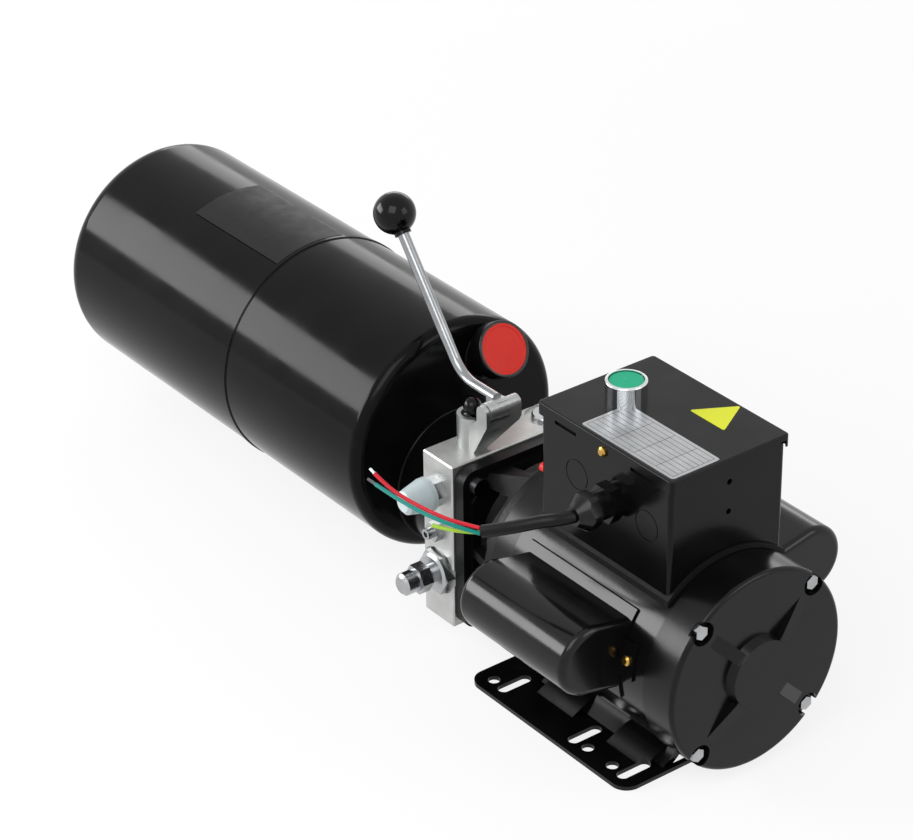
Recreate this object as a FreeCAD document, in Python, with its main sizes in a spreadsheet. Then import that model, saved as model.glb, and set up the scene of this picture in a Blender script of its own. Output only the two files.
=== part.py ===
import FreeCAD, Part
import math
import os
import Sketcher

# Hydraulic power unit: a single-phase motor on a slotted foot drives a gear pump that hangs
# inside the neck of a round oil tank. Millimetres, +Z up, +X towards the motor's end cover.
# The origin is the centre of the foot's four outer round holes, on the foot's underside.

DOC = FreeCAD.newDocument("hydraulic_power_unit")
SHEET = DOC.addObject("Spreadsheet::Sheet", "Sizes")
TABLE = (
    # fits shared by many pieces
    ("running_gap", 0.05, "radial gap of a shaft in its bore"),
    ("slip_gap", 0.3, "gap between curved faces that do not touch"),
    ("seat_gap", 0.1, "radial gap of a plug, screw or core in its seat"),
    # motor
    ("shaft_height", 82, "motor axis above the foot plane"),
    ("motor_face_x", 124.5, "flat face of the end cover"),
    ("cover_step", 0.8, "end cover larger than the shell, radial"),
    ("cover_depth", 28, "end cover skirt"),
    ("cover_wall", 4.5, "end cover plate"),
    ("skirt_wall", 4, "end cover skirt thickness"),
    ("cover_round", 3, "end cover edge round"),
    ("boss_radius", 27, "raised centre boss"),
    ("boss_height", 6, "boss above the flat face"),
    ("boss_taper", 2.5, "boss side draft"),
    ("ridge_width", 9, "ridge from boss to bolt"),
    ("ridge_reach", 60, "radius where a ridge dies out"),
    ("bolt_room", 0.6, "through bolt inside the shell, radial"),
    ("bolt_radius", 2.5, "through bolt shank"),
    ("bolt_head_flats", 9, "through bolt head across flats"),
    ("bolt_head_height", 4, "through bolt head"),
    ("notch_radius", 8.5, "notch round a bolt head"),
    ("notch_depth", 5.5, "notch depth below the flat face"),
    ("shell_radius", 72.6, "motor shell outside"),
    ("shell_wall", 2.3, "motor shell sheet"),
    ("shell_length", 144, "motor shell"),
    ("shield_depth", 18, "drive end shield"),
    ("shield_wall", 7, "drive end shield plate"),
    ("hub_wall", 6, "metal round a bearing"),
    ("bearing_radius", 20, "bearing outside"),
    ("bearing_width", 12, "bearing"),
    ("shaft_radius", 8.5, "motor shaft"),
    ("shaft_tail", 26, "shaft beyond the drive end shield"),
    ("stator_setback", 25, "stator from the shell's drive end"),
    ("stator_length", 90, "stator stack"),
    ("stator_bore", 41, "stator bore radius"),
    ("air_gap", 0.4, "rotor to stator, radial"),
    ("winding_length", 18, "end turns beyond the stack"),
    ("winding_room", 2.7, "end turns inside the through bolts, radial"),
    ("winding_inner", 46, "end turns inside radius"),
    # foot plate
    ("foot_start_x", -77.5, "drive end edge of the foot"),
    ("foot_length", 168, "foot along the axis"),
    ("foot_width", 165, "foot across"),
    ("foot_sheet", 3, "foot sheet thickness"),
    ("foot_corner", 12, "foot corner radius"),
    ("slot_start_x", -51, "drive end pair of slots"),
    ("slot_pitch", 127, "long slot pattern along the axis"),
    ("slot_pitch_short", 76.2, "short slot pattern along the axis"),
    ("slot_spacing", 123.8, "slot pattern across"),
    ("slot_length", 27, "slot end to end"),
    ("slot_radius", 4.35, "half the slot width"),
    ("hole_pitch", 127, "long round hole pattern"),
    ("hole_pitch_short", 101.6, "short round hole pattern"),
    ("hole_spacing", 139.7, "round hole pattern across"),
    ("hole_radius", 4.35, "round hole"),
    ("cradle_start_x", -41.5, "cradle start"),
    ("cradle_length", 128, "cradle length"),
    ("cradle_half", 29, "half width of the cradle's top"),
    ("cradle_foot_half", 44, "half width of the cradle's foot"),
    ("gusset_length", 38, "pressed gusset along the axis"),
    ("gusset_reach", 12, "pressed gusset out over the flange"),
    ("gusset_inset", 8, "pressed gusset from the cradle's end"),
    # capacitor covers
    ("can_cover_radius", 25.3, "capacitor cover outside"),
    ("can_cover_standoff", 25.8, "cover centre outside the shell"),
    ("can_cover_tilt", 11.5, "cover centre above the horizontal, degrees"),
    ("can_cover_setback", 12, "cover from the shell's drive end"),
    ("can_cover_length", 109, "cover length"),
    ("can_cover_wall", 1.5, "cover sheet"),
    ("can_cover_round", 5, "cover end round"),
    ("flange_reach", 7, "cover flange beyond its side"),
    ("tab_length", 13, "screw tab beyond the cover's end"),
    ("tab_width", 26, "screw tab across"),
    ("capacitor_radius", 21, "capacitor can"),
    ("capacitor_length", 88, "capacitor can"),
    # junction box and lid
    ("box_setback", 9, "box from the shell's drive end"),
    ("box_length", 129.5, "box along the axis"),
    ("box_width", 97, "box across"),
    ("box_wall", 1.5, "box sheet"),
    ("box_corner", 3, "box corner radius"),
    ("lid_top", 145.5, "lid top above the motor axis"),
    ("lid_wall", 1.2, "lid sheet"),
    ("lid_lip", 9, "lid lip on the long sides"),
    ("lid_end_lip", 4, "lid lip on the ends"),
    ("lid_overhang", 2.6, "lid beyond the box ends"),
    ("tab_drop", 5, "deeper middle of the lip"),
    ("tab_inset", 12, "lip taper from the lid's end"),
    ("lid_slot_length", 21.7, "slot in the lip"),
    ("lid_slot_height", 2.6, "slot in the lip"),
    ("lid_slot_centre", 38, "slot centre from the lid's middle"),
    ("lid_slot_drop", 7.8, "slot and screw below the lid top"),
    ("saddle_thickness", 3.4, "gasket between shell and box"),
    ("saddle_reach", 2, "gasket beyond the box"),
    ("small_screw_radius", 2, "brass screw shank"),
    ("small_screw_length", 4, "brass screw shank"),
    ("small_head_radius", 3.6, "brass screw head"),
    ("small_head_height", 2.4, "brass screw head"),
    ("knockout_radius", 11, "knockout disc"),
    ("knockout_first", 37, "first knockout from the box wall nearest the tank"),
    ("knockout_first_height", 107, "first knockout above the motor axis"),
    ("knockout_second", 107, "second knockout from the box wall nearest the tank"),
    ("knockout_second_height", 102, "second knockout above the motor axis"),
    ("knockout_groove", 0.7, "knockout groove"),
    # push-button
    ("button_setback", 33, "push-button from the box wall nearest the tank"),
    ("button_y", -4, "push-button place"),
    ("bezel_radius", 14.2, "chrome bezel"),
    ("bezel_height", 15.5, "chrome bezel above the lid"),
    ("bezel_neck", 10.9, "threaded neck"),
    ("neck_length_below", 12, "threaded neck below the lid"),
    ("button_radius", 11.8, "green cap"),
    ("button_thickness", 5, "green cap"),
    ("button_recess", 0.6, "cap below the bezel rim"),
    ("button_travel", 4, "button stroke"),
    ("button_stem", 4, "button stem radius"),
    ("contact_width", 30, "contact block across"),
    ("contact_height", 34, "contact block"),
    # overload reset button
    ("reset_y", -42, "reset button place"),
    ("reset_height", 91, "reset button above the motor axis"),
    ("reset_radius", 3.4, "reset button"),
    ("reset_reach", 7, "reset button proud of the box"),
    ("reset_travel", 3, "reset button stroke"),
    # cable gland
    ("gland_setback", 77, "gland from the box wall nearest the tank"),
    ("gland_height", 108, "gland above the motor axis"),
    ("gland_flats", 24, "gland hexagon"),
    ("gland_hex", 9, "gland hexagon length"),
    ("gland_body", 10, "gland collar radius"),
    ("gland_neck", 9, "gland neck between hexagon and dome nut"),
    ("gland_nut_length", 15, "dome nut"),
    ("gland_thread", 8, "gland thread radius"),
    ("cable_radius", 4.4, "sheathed cable"),
    ("core_radius", 1.35, "insulated core"),
    # adapter between motor and block
    ("adapter_length", 49.7, "adapter"),
    ("adapter_flange", 10, "square flange thickness"),
    ("adapter_inset", 2, "adapter smaller than the block, each side"),
    ("adapter_corner", 10, "adapter corner radius"),
    ("adapter_ring", 6, "round flange thickness"),
    ("adapter_bore", 50, "coupling space radius"),
    ("adapter_mouth", 56, "half width of the adapter's body at the square flange"),
    ("window_width", 46, "side window up and down"),
    ("window_length", 22, "side window along the axis"),
    ("rib_thickness", 7, "rib between side windows"),
    # manifold block
    ("block_side", 130, "block across and up"),
    ("block_thickness", 33, "block along the axis"),
    ("block_edge", 1, "block edge chamfer"),
    ("block_screw_offset", 53, "adapter screw from the axis"),
    ("block_screw_radius", 4, "adapter screw"),
    ("block_screw_length", 32, "adapter screw"),
    ("block_head_radius", 6.5, "adapter screw head"),
    ("block_head_height", 8, "adapter screw head"),
    ("pump_bore", 10, "bore for the pump shaft seal"),
    ("spigot_radius", 48.2, "spigot in the tank neck"),
    ("spigot_length", 12, "spigot"),
    ("seal_section", 1.5, "neck seal half thickness"),
    # block ports and fittings
    ("port_height", 40, "outlet port above the motor axis"),
    ("port_flats", 19, "outlet fitting hexagon"),
    ("port_hex", 8, "outlet fitting hexagon length"),
    ("port_nose", 12, "outlet fitting nose"),
    ("port_nose_radius", 7, "outlet fitting nose"),
    ("port_thread", 8, "outlet fitting thread"),
    ("dust_cap_radius", 12.4, "dust cap at its mouth"),
    ("dust_cap_tip", 8.6, "dust cap at its tip"),
    ("dust_cap_length", 22, "dust cap"),
    ("relief_height", 8, "relief valve above the motor axis"),
    ("relief_flats", 13, "relief lock nut"),
    ("relief_nut", 6, "relief lock nut length"),
    ("relief_screw", 4, "relief adjusting screw radius"),
    ("relief_reach", 11, "adjusting screw proud of the block"),
    ("relief_depth", 30, "relief bore depth"),
    ("check_height", -25, "check valve above the motor axis"),
    ("check_flats", 29, "check valve hexagon"),
    ("check_hex", 7, "check valve hexagon length"),
    ("check_recess", 17.5, "round recess for the check valve"),
    ("check_recess_depth", 2, "round recess"),
    ("check_neck", 7, "check valve neck"),
    ("check_thread", 9, "check valve thread"),
    ("cap_nut_flats", 19, "cap nut hexagon"),
    ("cap_nut_hex", 9, "cap nut hexagon length"),
    ("cap_nut_radius", 8.2, "cap nut barrel"),
    ("cap_nut_length", 12, "cap nut barrel"),
    ("plug_y", 31, "top plug place"),
    ("plug_radius", 10.5, "top plug"),
    ("plug_recess", 15.5, "recess round the top plug"),
    ("plug_recess_depth", 1.5, "recess round the top plug"),
    ("plug_depth", 16, "top plug"),
    # release valve and lever
    ("valve_back", 21.2, "valve axis behind the lever pin"),
    ("valve_y", -32.5, "valve place across the block"),
    ("valve_radius", 10.9, "collar of the bracket round the valve"),
    ("valve_height", 24, "collar above the block"),
    ("valve_cup", 8, "bore of the collar"),
    ("valve_cup_depth", 9, "valve top below the collar's rim"),
    ("collar_floor", 3, "floor of the collar, clamped by the valve"),
    ("valve_thread", 6.4, "valve thread radius"),
    ("valve_depth", 24, "valve below the block's top"),
    ("valve_guide", 8, "length of the plunger's guide"),
    ("plunger_radius", 2.5, "plunger neck"),
    ("ball_radius", 6.5, "plunger ball"),
    ("plunger_lift", 6.4, "plunger stroke"),
    ("spring_solid", 3.8, "release spring when pressed flat"),
    ("spring_cavity", 5, "spring space radius"),
    ("spring_wire", 0.6, "release spring wire radius"),
    ("spring_turns", 3, "release spring turns"),
    ("pin_overhang", 2.8, "lever pin in front of the block"),
    ("pin_height", 35, "lever pin above the block's top"),
    ("pin_radius", 2.5, "lever pin"),
    ("ear_radius", 5.5, "bracket ear"),
    ("ear_near", 3.2, "ear beside the fork"),
    ("ear_far", 9.5, "ear at the far end"),
    ("hub_length", 17, "lever hub between the ears"),
    ("hub_radius", 6.5, "lever hub barrel"),
    ("side_gap", 0.3, "gap between hub and ears"),
    ("fork_width", 10, "fork under the ball"),
    ("fork_sheet", 2.8, "fork thickness"),
    ("fork_reach", 25, "fork tip from the pin"),
    ("fork_gap", 0.4, "fork below the ball"),
    ("fork_drop", 12, "fork top below the pin"),
    ("fork_room", 0.6, "slot in the fork round the plunger neck"),
    ("fork_swing", 3.4, "end of the fork's slot in front of the valve axis"),
    ("fork_clear", 1.2, "pocket floor below the fork"),
    ("web_front", 0.9, "fork's web behind the pin axis, front face"),
    ("web_back", 6.6, "fork's web behind the pin axis, back face"),
    ("bracket_wall", 3.5, "front wall of the bracket"),
    ("bracket_root", 9.1, "bracket's front edge behind the pin at the block"),
    ("bracket_lean", 26, "height where the bracket's front face turns upright"),
    ("rod_radius", 4, "lever rod"),
    ("rod_y", -25, "lever rod place across the block"),
    ("rod_rise", 5, "rod above the pin"),
    ("rod_inset", 3.5, "rod end behind the pin"),
    ("rod_stub", 41.7, "level stretch of the rod from the pin"),
    ("rod_bend", 28, "rod bend radius"),
    ("rod_angle", 52.2, "rod's upper stretch above level, degrees"),
    ("rod_upper", 110.5, "rod's upper stretch"),
    ("saddle_half", 4.5, "half width of the hub's seat for the rod"),
    ("saddle_back", 9.6, "hub's seat for the rod behind the pin"),
    ("saddle_front", 3.4, "hub's seat for the rod in front of the pin"),
    ("saddle_top", 6, "hub's seat for the rod above the pin"),
    ("knob_radius", 15, "ball knob"),
    ("knob_collar", 6, "knob collar radius"),
    ("knob_collar_length", 6, "knob collar"),
    # tank
    ("neck_length", 47.3, "block back to tank front"),
    ("neck_radius", 52, "tank neck outside"),
    ("neck_wall", 3.5, "tank neck"),
    ("tank_radius", 89, "tank outside"),
    ("tank_wall", 2, "tank sheet"),
    ("tank_rise", 31.5, "tank axis above the motor axis"),
    ("tank_front_length", 162, "front shell"),
    ("tank_rear_length", 223, "rear shell"),
    ("tank_front_round", 8, "front edge"),
    ("tank_rear_round", 16, "rear edge"),
    ("seam_step", 0.8, "rear shell larger at the seam"),
    ("seam_width", 5, "seam collar"),
    ("spout_y", 26, "filler place across the tank front"),
    ("spout_rise", 57, "filler place above the tank axis"),
    ("spout_tilt", 30, "filler above level, degrees"),
    ("spout_radius", 16, "filler spout"),
    ("spout_wall", 2.5, "filler spout"),
    ("spout_length", 14, "filler spout from the tank face"),
    ("cap_radius", 20.5, "breather cap"),
    ("cap_length", 13, "breather cap"),
    ("cap_plug", 11, "breather cap plug in the spout"),
    ("disc_radius", 18.3, "red disc in the cap"),
    ("disc_thickness", 2, "red disc in the cap"),
    ("neck_screw_radius", 3, "screw through the neck"),
    # gear pump
    ("pump_body_length", 42, "pump body"),
    ("pump_cover_length", 12, "pump cover"),
    ("pump_lobe", 21.5, "pump lobe radius"),
    ("tooth_module", 2.5, "gear module"),
    ("tooth_count", 10, "teeth on each gear"),
    ("gear_width", 20, "gear width"),
    ("gear_gap", 0.2, "gear to housing"),
    ("backlash", 0.5, "tooth thinning at the pitch circle"),
    ("stub_radius", 6, "gear shaft"),
    ("pump_bolt_radius", 2.5, "pump bolt"),
    ("pump_bolt_offset", 15.5, "pump bolt from the gear plane, across"),
    ("coupling_radius", 15, "coupling sleeve"),
    ("coupling_length", 30, "coupling sleeve"),
    ("suction_radius", 7, "suction tube"),
    ("suction_wall", 1.2, "suction tube"),
    ("suction_lead", 26, "suction tube level from the pump"),
    ("suction_fall", 26, "sloping stretch along the axis"),
    ("suction_tail", 32, "level stretch into the strainer"),
    ("suction_bend", 18, "suction tube bend radius"),
    ("suction_drop", 22, "strainer axis above the tank's bottom"),
    ("strainer_radius", 15, "suction strainer"),
    ("strainer_length", 46, "suction strainer"),
    ("strainer_lap", 12, "tube inside the strainer"),
)


class Size:
    """A number that keeps the sheet formula it was worked out from."""

    def __init__(self, number, formula):
        self.number = number
        self.formula = formula

    def __add__(self, other):
        return joined(self, other, "+", lambda a, b: a + b)

    def __radd__(self, other):
        return joined(other, self, "+", lambda a, b: a + b)

    def __sub__(self, other):
        return joined(self, other, "-", lambda a, b: a - b)

    def __rsub__(self, other):
        return joined(other, self, "-", lambda a, b: a - b)

    def __mul__(self, other):
        return joined(self, other, "*", lambda a, b: a * b)

    def __rmul__(self, other):
        return joined(other, self, "*", lambda a, b: a * b)

    def __truediv__(self, other):
        return joined(self, other, "/", lambda a, b: a / b)

    def __neg__(self):
        return joined(-1, self, "*", lambda a, b: a * b)


def as_size(value):
    if isinstance(value, Size):
        return value
    return Size(float(value), "%.6f" % value)


def joined(left, right, sign, work):
    left = as_size(left)
    right = as_size(right)
    return Size(work(left.number, right.number), "(%s %s %s)" % (left.formula, sign, right.formula))


def root(value):
    return Size(math.sqrt(value.number), "sqrt(%s)" % value.formula)


def sine(degrees):
    return Size(math.sin(math.radians(degrees.number)), "sin(%s * 1 deg)" % degrees.formula)


def cosine(degrees):
    return Size(math.cos(math.radians(degrees.number)), "cos(%s * 1 deg)" % degrees.formula)


def chord(radius, offset):
    """Half chord of a circle at a distance from its centre."""
    return root(radius * radius - offset * offset)


class Sheet:
    """Reads a size from the spreadsheet by its alias."""

    def __getattr__(self, alias):
        return Size(float(SHEET.get(alias)), "Sizes." + alias)


def fill_sheet():
    for row, (alias, number, note) in enumerate(TABLE, 1):
        SHEET.set("A%d" % row, note)
        SHEET.set("B%d" % row, str(number))
        SHEET.setAlias("B%d" % row, alias)
    DOC.recompute()


fill_sheet()
S = Sheet()

# ---------------------------------------------------------------- helpers

VECTOR = FreeCAD.Vector
X_AXIS = VECTOR(1, 0, 0)
Y_AXIS = VECTOR(0, 1, 0)
Z_AXIS = VECTOR(0, 0, 1)
# turns that carry a primitive's own +Z, or a turned body's own +X, onto the named axis
FROM_Z = {
    "X": FreeCAD.Rotation(Y_AXIS, 90),
    "-X": FreeCAD.Rotation(Y_AXIS, -90),
    "Y": FreeCAD.Rotation(X_AXIS, -90),
    "-Y": FreeCAD.Rotation(X_AXIS, 90),
    "Z": FreeCAD.Rotation(),
    "-Z": FreeCAD.Rotation(X_AXIS, 180),
}
FROM_X = {
    "X": FreeCAD.Rotation(),
    "-X": FreeCAD.Rotation(Z_AXIS, 180),
    "Y": FreeCAD.Rotation(Z_AXIS, 90),
    "-Y": FreeCAD.Rotation(Z_AXIS, -90),
    "Z": FreeCAD.Rotation(Y_AXIS, -90),
    "-Z": FreeCAD.Rotation(Y_AXIS, 90),
}
NODES = []


def bind(thing, name, value):
    thing.setExpression(name, as_size(value).formula)


def place(thing, at, turn):
    thing.Placement = FreeCAD.Placement(VECTOR(), turn)
    for letter, value in zip("xyz", at):
        bind(thing, "Placement.Base." + letter, value)


def primitive(kind, name, sizes, at, turn=FreeCAD.Rotation()):
    thing = DOC.addObject("Part::" + kind, name)
    for key, value in sizes.items():
        bind(thing, key, value)
    place(thing, at, turn)
    return thing


def cylinder(name, radius, length, at, axis="Z"):
    return primitive("Cylinder", name, {"Radius": radius, "Height": length}, at, FROM_Z[axis])


def box(name, along, across, up, at):
    return primitive("Box", name, {"Length": along, "Width": across, "Height": up}, at)


def ball(name, radius, at):
    return primitive("Sphere", name, {"Radius": radius}, at)


def hexagon(name, flats, length, at, axis="Z"):
    prism = primitive("Prism", name, {"Circumradius": flats / math.sqrt(3), "Height": length}, at, FROM_Z[axis])
    prism.Polygon = 6
    return prism


def fuse(name, shapes):
    result = DOC.addObject("Part::MultiFuse", name)
    result.Shapes = shapes
    result.Refine = True
    return result


def cut(name, base, tools):
    """Takes the tools away from the base one after another."""
    result = base
    for tool in tools:
        step = DOC.addObject("Part::Cut", name)
        step.Base = result
        step.Tool = tool
        step.Refine = True
        result = step
    return result


def common(name, shapes):
    result = DOC.addObject("Part::MultiCommon", name)
    result.Shapes = shapes
    return result


def group(name, shapes):
    result = DOC.addObject("Part::Compound", name)
    result.Links = shapes
    return result


def node(thing, label):
    thing.Label = label
    NODES.append(thing)
    return thing


def new_body(name, at=(0, 0, 0), turn=FreeCAD.Rotation()):
    body = DOC.addObject("PartDesign::Body", name)
    place(body, at, turn)
    return body


def origin_part(body, role):
    return [part for part in body.Origin.OriginFeatures if part.Role == role][0]


def sketch_on(body, name, role, offset=0):
    sketch = body.newObject("Sketcher::SketchObject", name)
    sketch.AttachmentSupport = (origin_part(body, role), [""])
    sketch.MapMode = "FlatFace"
    bind(sketch, "AttachmentOffset.Base.z", offset)
    return sketch


def outline(sketch, points):
    """A closed outline of straight lines, each corner tied to its two sizes."""
    points = [(as_size(x), as_size(y)) for x, y in points]
    for index, (x, y) in enumerate(points):
        next_x, next_y = points[(index + 1) % len(points)]
        line = Part.LineSegment(VECTOR(x.number, y.number, 0), VECTOR(next_x.number, next_y.number, 0))
        sketch.addGeometry(line, False)
    for index, (x, y) in enumerate(points):
        after = (index + 1) % len(points)
        sketch.addConstraint(Sketcher.Constraint("Coincident", index, 2, after, 1))
        for kind, value in (("DistanceX", x), ("DistanceY", y)):
            rule = Sketcher.Constraint(kind, -1, 1, index, 1, value.number)
            number = sketch.addConstraint(rule)
            sketch.setExpression("Constraints[%d]" % number, value.formula)


def revolve(body, sketch, name):
    feature = body.newObject("PartDesign::Revolution", name)
    feature.Profile = sketch
    feature.ReferenceAxis = (origin_part(body, "X_Axis"), [""])
    feature.Angle = 360
    return feature


def turned(name, points, at, axis="X", turn=None):
    """A lathe-turned body: (along, radius) points spun about the axis through at."""
    body = new_body(name, at, turn or FROM_X[axis])
    sketch = sketch_on(body, name + "_profile", "XY_Plane")
    outline(sketch, points)
    revolve(body, sketch, name + "_turn")
    return body


def padded(name, points, role, length, at=(0, 0, 0), turn=FreeCAD.Rotation(), middle=False):
    """An outline on one of the body's own planes, given a thickness."""
    body = new_body(name, at, turn)
    sketch = sketch_on(body, name + "_profile", role)
    outline(sketch, points)
    feature = body.newObject("PartDesign::Pad", name + "_pad")
    feature.Profile = sketch
    bind(feature, "Length", length)
    feature.Midplane = middle
    return body


def round_edges(body, name, radius, chosen):
    """Fillet the edges of a body's last feature that chosen() picks."""
    DOC.recompute()
    last = body.Tip
    edges = ["Edge%d" % (i + 1) for i, edge in enumerate(last.Shape.Edges) if chosen(edge)]
    feature = body.newObject("PartDesign::Fillet", name)
    feature.Base = (last, edges)
    bind(feature, "Radius", radius)
    body.Tip = feature
    return feature


def on_plane(axis_name, value):
    """Picks circles whose every point lies at one place along a body's own axis."""
    number = as_size(value).number

    def chosen(edge):
        low = getattr(edge.BoundBox, axis_name + "Min")
        high = getattr(edge.BoundBox, axis_name + "Max")
        return abs(low - number) < 1e-4 and abs(high - number) < 1e-4

    return chosen


def circle_at(place_along, radius):
    """Picks a full circle of one radius at one place along the body's X."""
    at_place = on_plane("X", place_along)
    number = as_size(radius).number

    def chosen(edge):
        return at_place(edge) and abs(getattr(edge.Curve, "Radius", 0) - number) < 1e-4

    return chosen


def route_wire(points, radii):
    """Straight runs joined by tangent arcs of the given radii."""
    edges = []
    start = points[0]
    for before, corner, after, radius in zip(points, points[1:], points[2:], radii):
        inward = (corner - before).normalize()
        outward = (after - corner).normalize()
        half_turn = inward.getAngle(outward) / 2
        reach = radius * math.tan(half_turn)
        arc_start = corner - inward * reach
        arc_end = corner + outward * reach
        centre_way = (outward - inward).normalize()
        middle = corner + centre_way * (radius / math.cos(half_turn) - radius)
        edges.append(Part.LineSegment(start, arc_start).toShape())
        edges.append(Part.Arc(arc_start, middle, arc_end).toShape())
        start = arc_end
    edges.append(Part.LineSegment(start, points[-1]).toShape())
    return Part.Wire(edges)


def tube_along(wire, radius, bore=0):
    """A round rod, or a tube, swept along a wire."""
    start = wire.Edges[0].valueAt(wire.Edges[0].FirstParameter)
    way = wire.Edges[0].tangentAt(wire.Edges[0].FirstParameter)
    solids = []
    for each in (radius, bore):
        if each:
            ring = Part.Wire(Part.Circle(start, way, each).toShape())
            solids.append(wire.makePipeShell([ring], True, True))
    return solids[0] if len(solids) == 1 else solids[0].cut(solids[1])


def shape_node(label, shape, placement=FreeCAD.Placement()):
    """A piece whose form is a swept or repeated shape that no primitive gives."""
    thing = DOC.addObject("Part::Feature", label)
    thing.Shape = shape
    thing.Placement = placement
    return node(thing, label)


def corners(offset):
    """The four corners of a square about the motor axis, as (across, up) pairs."""
    return [(across * offset, up * offset) for across in (-1, 1) for up in (-1, 1)]


# ---------------------------------------------------------------- stations along the axis

AXIS_Z = S.shaft_height
SHELL_FRONT = S.motor_face_x - S.cover_depth
SHELL_BACK = SHELL_FRONT - S.shell_length
SHIELD_BACK = SHELL_BACK - S.shield_depth
BLOCK_FRONT = SHIELD_BACK - S.adapter_length
BLOCK_BACK = BLOCK_FRONT - S.block_thickness
BLOCK_MIDDLE = BLOCK_FRONT - S.block_thickness / 2
BLOCK_TOP = AXIS_Z + S.block_side / 2
TANK_FRONT = BLOCK_BACK - S.neck_length
TANK_SEAM = TANK_FRONT - S.tank_front_length
TANK_BACK = TANK_SEAM - S.tank_rear_length
TANK_Z = AXIS_Z + S.tank_rise
STATOR_BACK = SHELL_BACK + S.stator_setback
SHAFT_BACK = SHIELD_BACK - S.shaft_tail
PUMP_FRONT = BLOCK_BACK - S.spigot_length
PUMP_BODY_BACK = PUMP_FRONT - S.pump_body_length
PUMP_BACK = PUMP_BODY_BACK - S.pump_cover_length
COVER_RADIUS = S.shell_radius + S.cover_step
BOLT_CIRCLE = S.shell_radius - S.shell_wall - S.bolt_radius - S.bolt_room
BOLT_OFFSET = BOLT_CIRCLE * math.sqrt(0.5)
CAN_DISTANCE = S.shell_radius + S.can_cover_standoff
CAN_START = SHELL_BACK + S.can_cover_setback
BOX_START = SHELL_BACK + S.box_setback
BUTTON_X = BOX_START + S.button_setback
GLAND_X = BOX_START + S.gland_setback
PIN_X = BLOCK_FRONT + S.pin_overhang
PIN_Z = BLOCK_TOP + S.pin_height
VALVE_X = PIN_X - S.valve_back
SEAL_FLOOR = S.spigot_radius - S.seal_section * 1.5
PUMP_BOLT_HEIGHTS = (S.pump_lobe * 0.45, -S.tooth_module * S.tooth_count - S.pump_lobe * 0.45)
GEAR_CENTRES = S.tooth_module * S.tooth_count
GEAR_BACK = PUMP_BODY_BACK + S.gear_gap
DRIVEN_Z = AXIS_Z - GEAR_CENTRES
SUCTION_START = (PUMP_BACK, 0, AXIS_Z - GEAR_CENTRES / 2)


def on_axis(along):
    return (along, 0, AXIS_Z)


# ---------------------------------------------------------------- motor

def end_cover():
    """Cast end cover: flat face, raised boss with four ridges that run out to the bolt notches."""
    inner = COVER_RADIUS - S.skirt_wall
    hub = S.bearing_radius + S.hub_wall
    hub_depth = S.cover_wall + S.bearing_width + 4
    seat = S.bearing_radius + S.seat_gap
    cover = turned("end_cover_cup", [
        (S.boss_height, 0),
        (S.boss_height, S.boss_radius - S.boss_taper),
        (0, S.boss_radius),
        (0, COVER_RADIUS),
        (-S.cover_depth, COVER_RADIUS),
        (-S.cover_depth, inner),
        (-S.cover_wall, inner),
        (-S.cover_wall, hub),
        (-hub_depth, hub),
        (-hub_depth, seat),
        (-(S.cover_wall + 4), seat),
        (-(S.cover_wall + 4), 0),
    ], on_axis(S.motor_face_x))
    round_edges(cover, "end_cover_round", S.cover_round, circle_at(0, COVER_RADIUS))
    ridges = []
    root_radius = S.boss_radius - 6
    for quarter in range(4):
        ridges.append(padded("end_cover_ridge", [
            (-1, root_radius),
            (S.boss_height - 0.5, root_radius),
            (S.boss_height - 0.5, S.boss_radius),
            (-1, S.ridge_reach),
        ], "XY_Plane", S.ridge_width, on_axis(S.motor_face_x), FreeCAD.Rotation(X_AXIS, 45 + 90 * quarter), True))
    bosses = []
    notches = []
    for across, up in corners(BOLT_OFFSET):
        back = (SHELL_FRONT, across, AXIS_Z + up)
        seat_place = (S.motor_face_x - S.notch_depth, across, AXIS_Z + up)
        bosses.append(cylinder("end_cover_bolt_boss", S.notch_radius, S.cover_depth - S.notch_depth, back, "X"))
        notches.append(cylinder("end_cover_notch", S.notch_radius, S.notch_depth + S.boss_height, seat_place, "X"))
        notches.append(cylinder("end_cover_hole", S.bolt_radius + S.seat_gap, S.cover_depth, back, "X"))
    limit = cylinder("end_cover_limit", COVER_RADIUS, S.cover_depth, on_axis(SHELL_FRONT), "X")
    boss_set = common("end_cover_bosses", [fuse("end_cover_boss_set", bosses), limit])
    solid = fuse("end_cover_solid", [cover, boss_set] + ridges)
    node(cut("end_cover_cut", solid, notches), "end_cover")


def motor_shell():
    """Rolled shell with a tapped hole under each screw of the capacitor covers."""
    inner = S.shell_radius - S.shell_wall
    tube = turned("motor_shell_tube", [
        (0, inner),
        (0, S.shell_radius),
        (S.shell_length, S.shell_radius),
        (S.shell_length, inner),
    ], on_axis(SHELL_BACK))
    holes = []
    tilt = S.can_cover_tilt
    for side in (-1, 1):
        way = FreeCAD.Rotation(X_AXIS, side * tilt.number).multiply(FROM_Z["Y" if side > 0 else "-Y"])
        for along in cover_screw_stations():
            spot = (along, side * inner * 0.9 * cosine(tilt), AXIS_Z + inner * 0.9 * sine(tilt))
            sizes = {"Radius": S.small_screw_radius + S.seat_gap, "Height": S.shell_radius * 0.2}
            holes.append(primitive("Cylinder", "shell_screw_hole", sizes, spot, way))
    node(cut("motor_shell_cut", tube, holes), "motor_shell")


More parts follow.
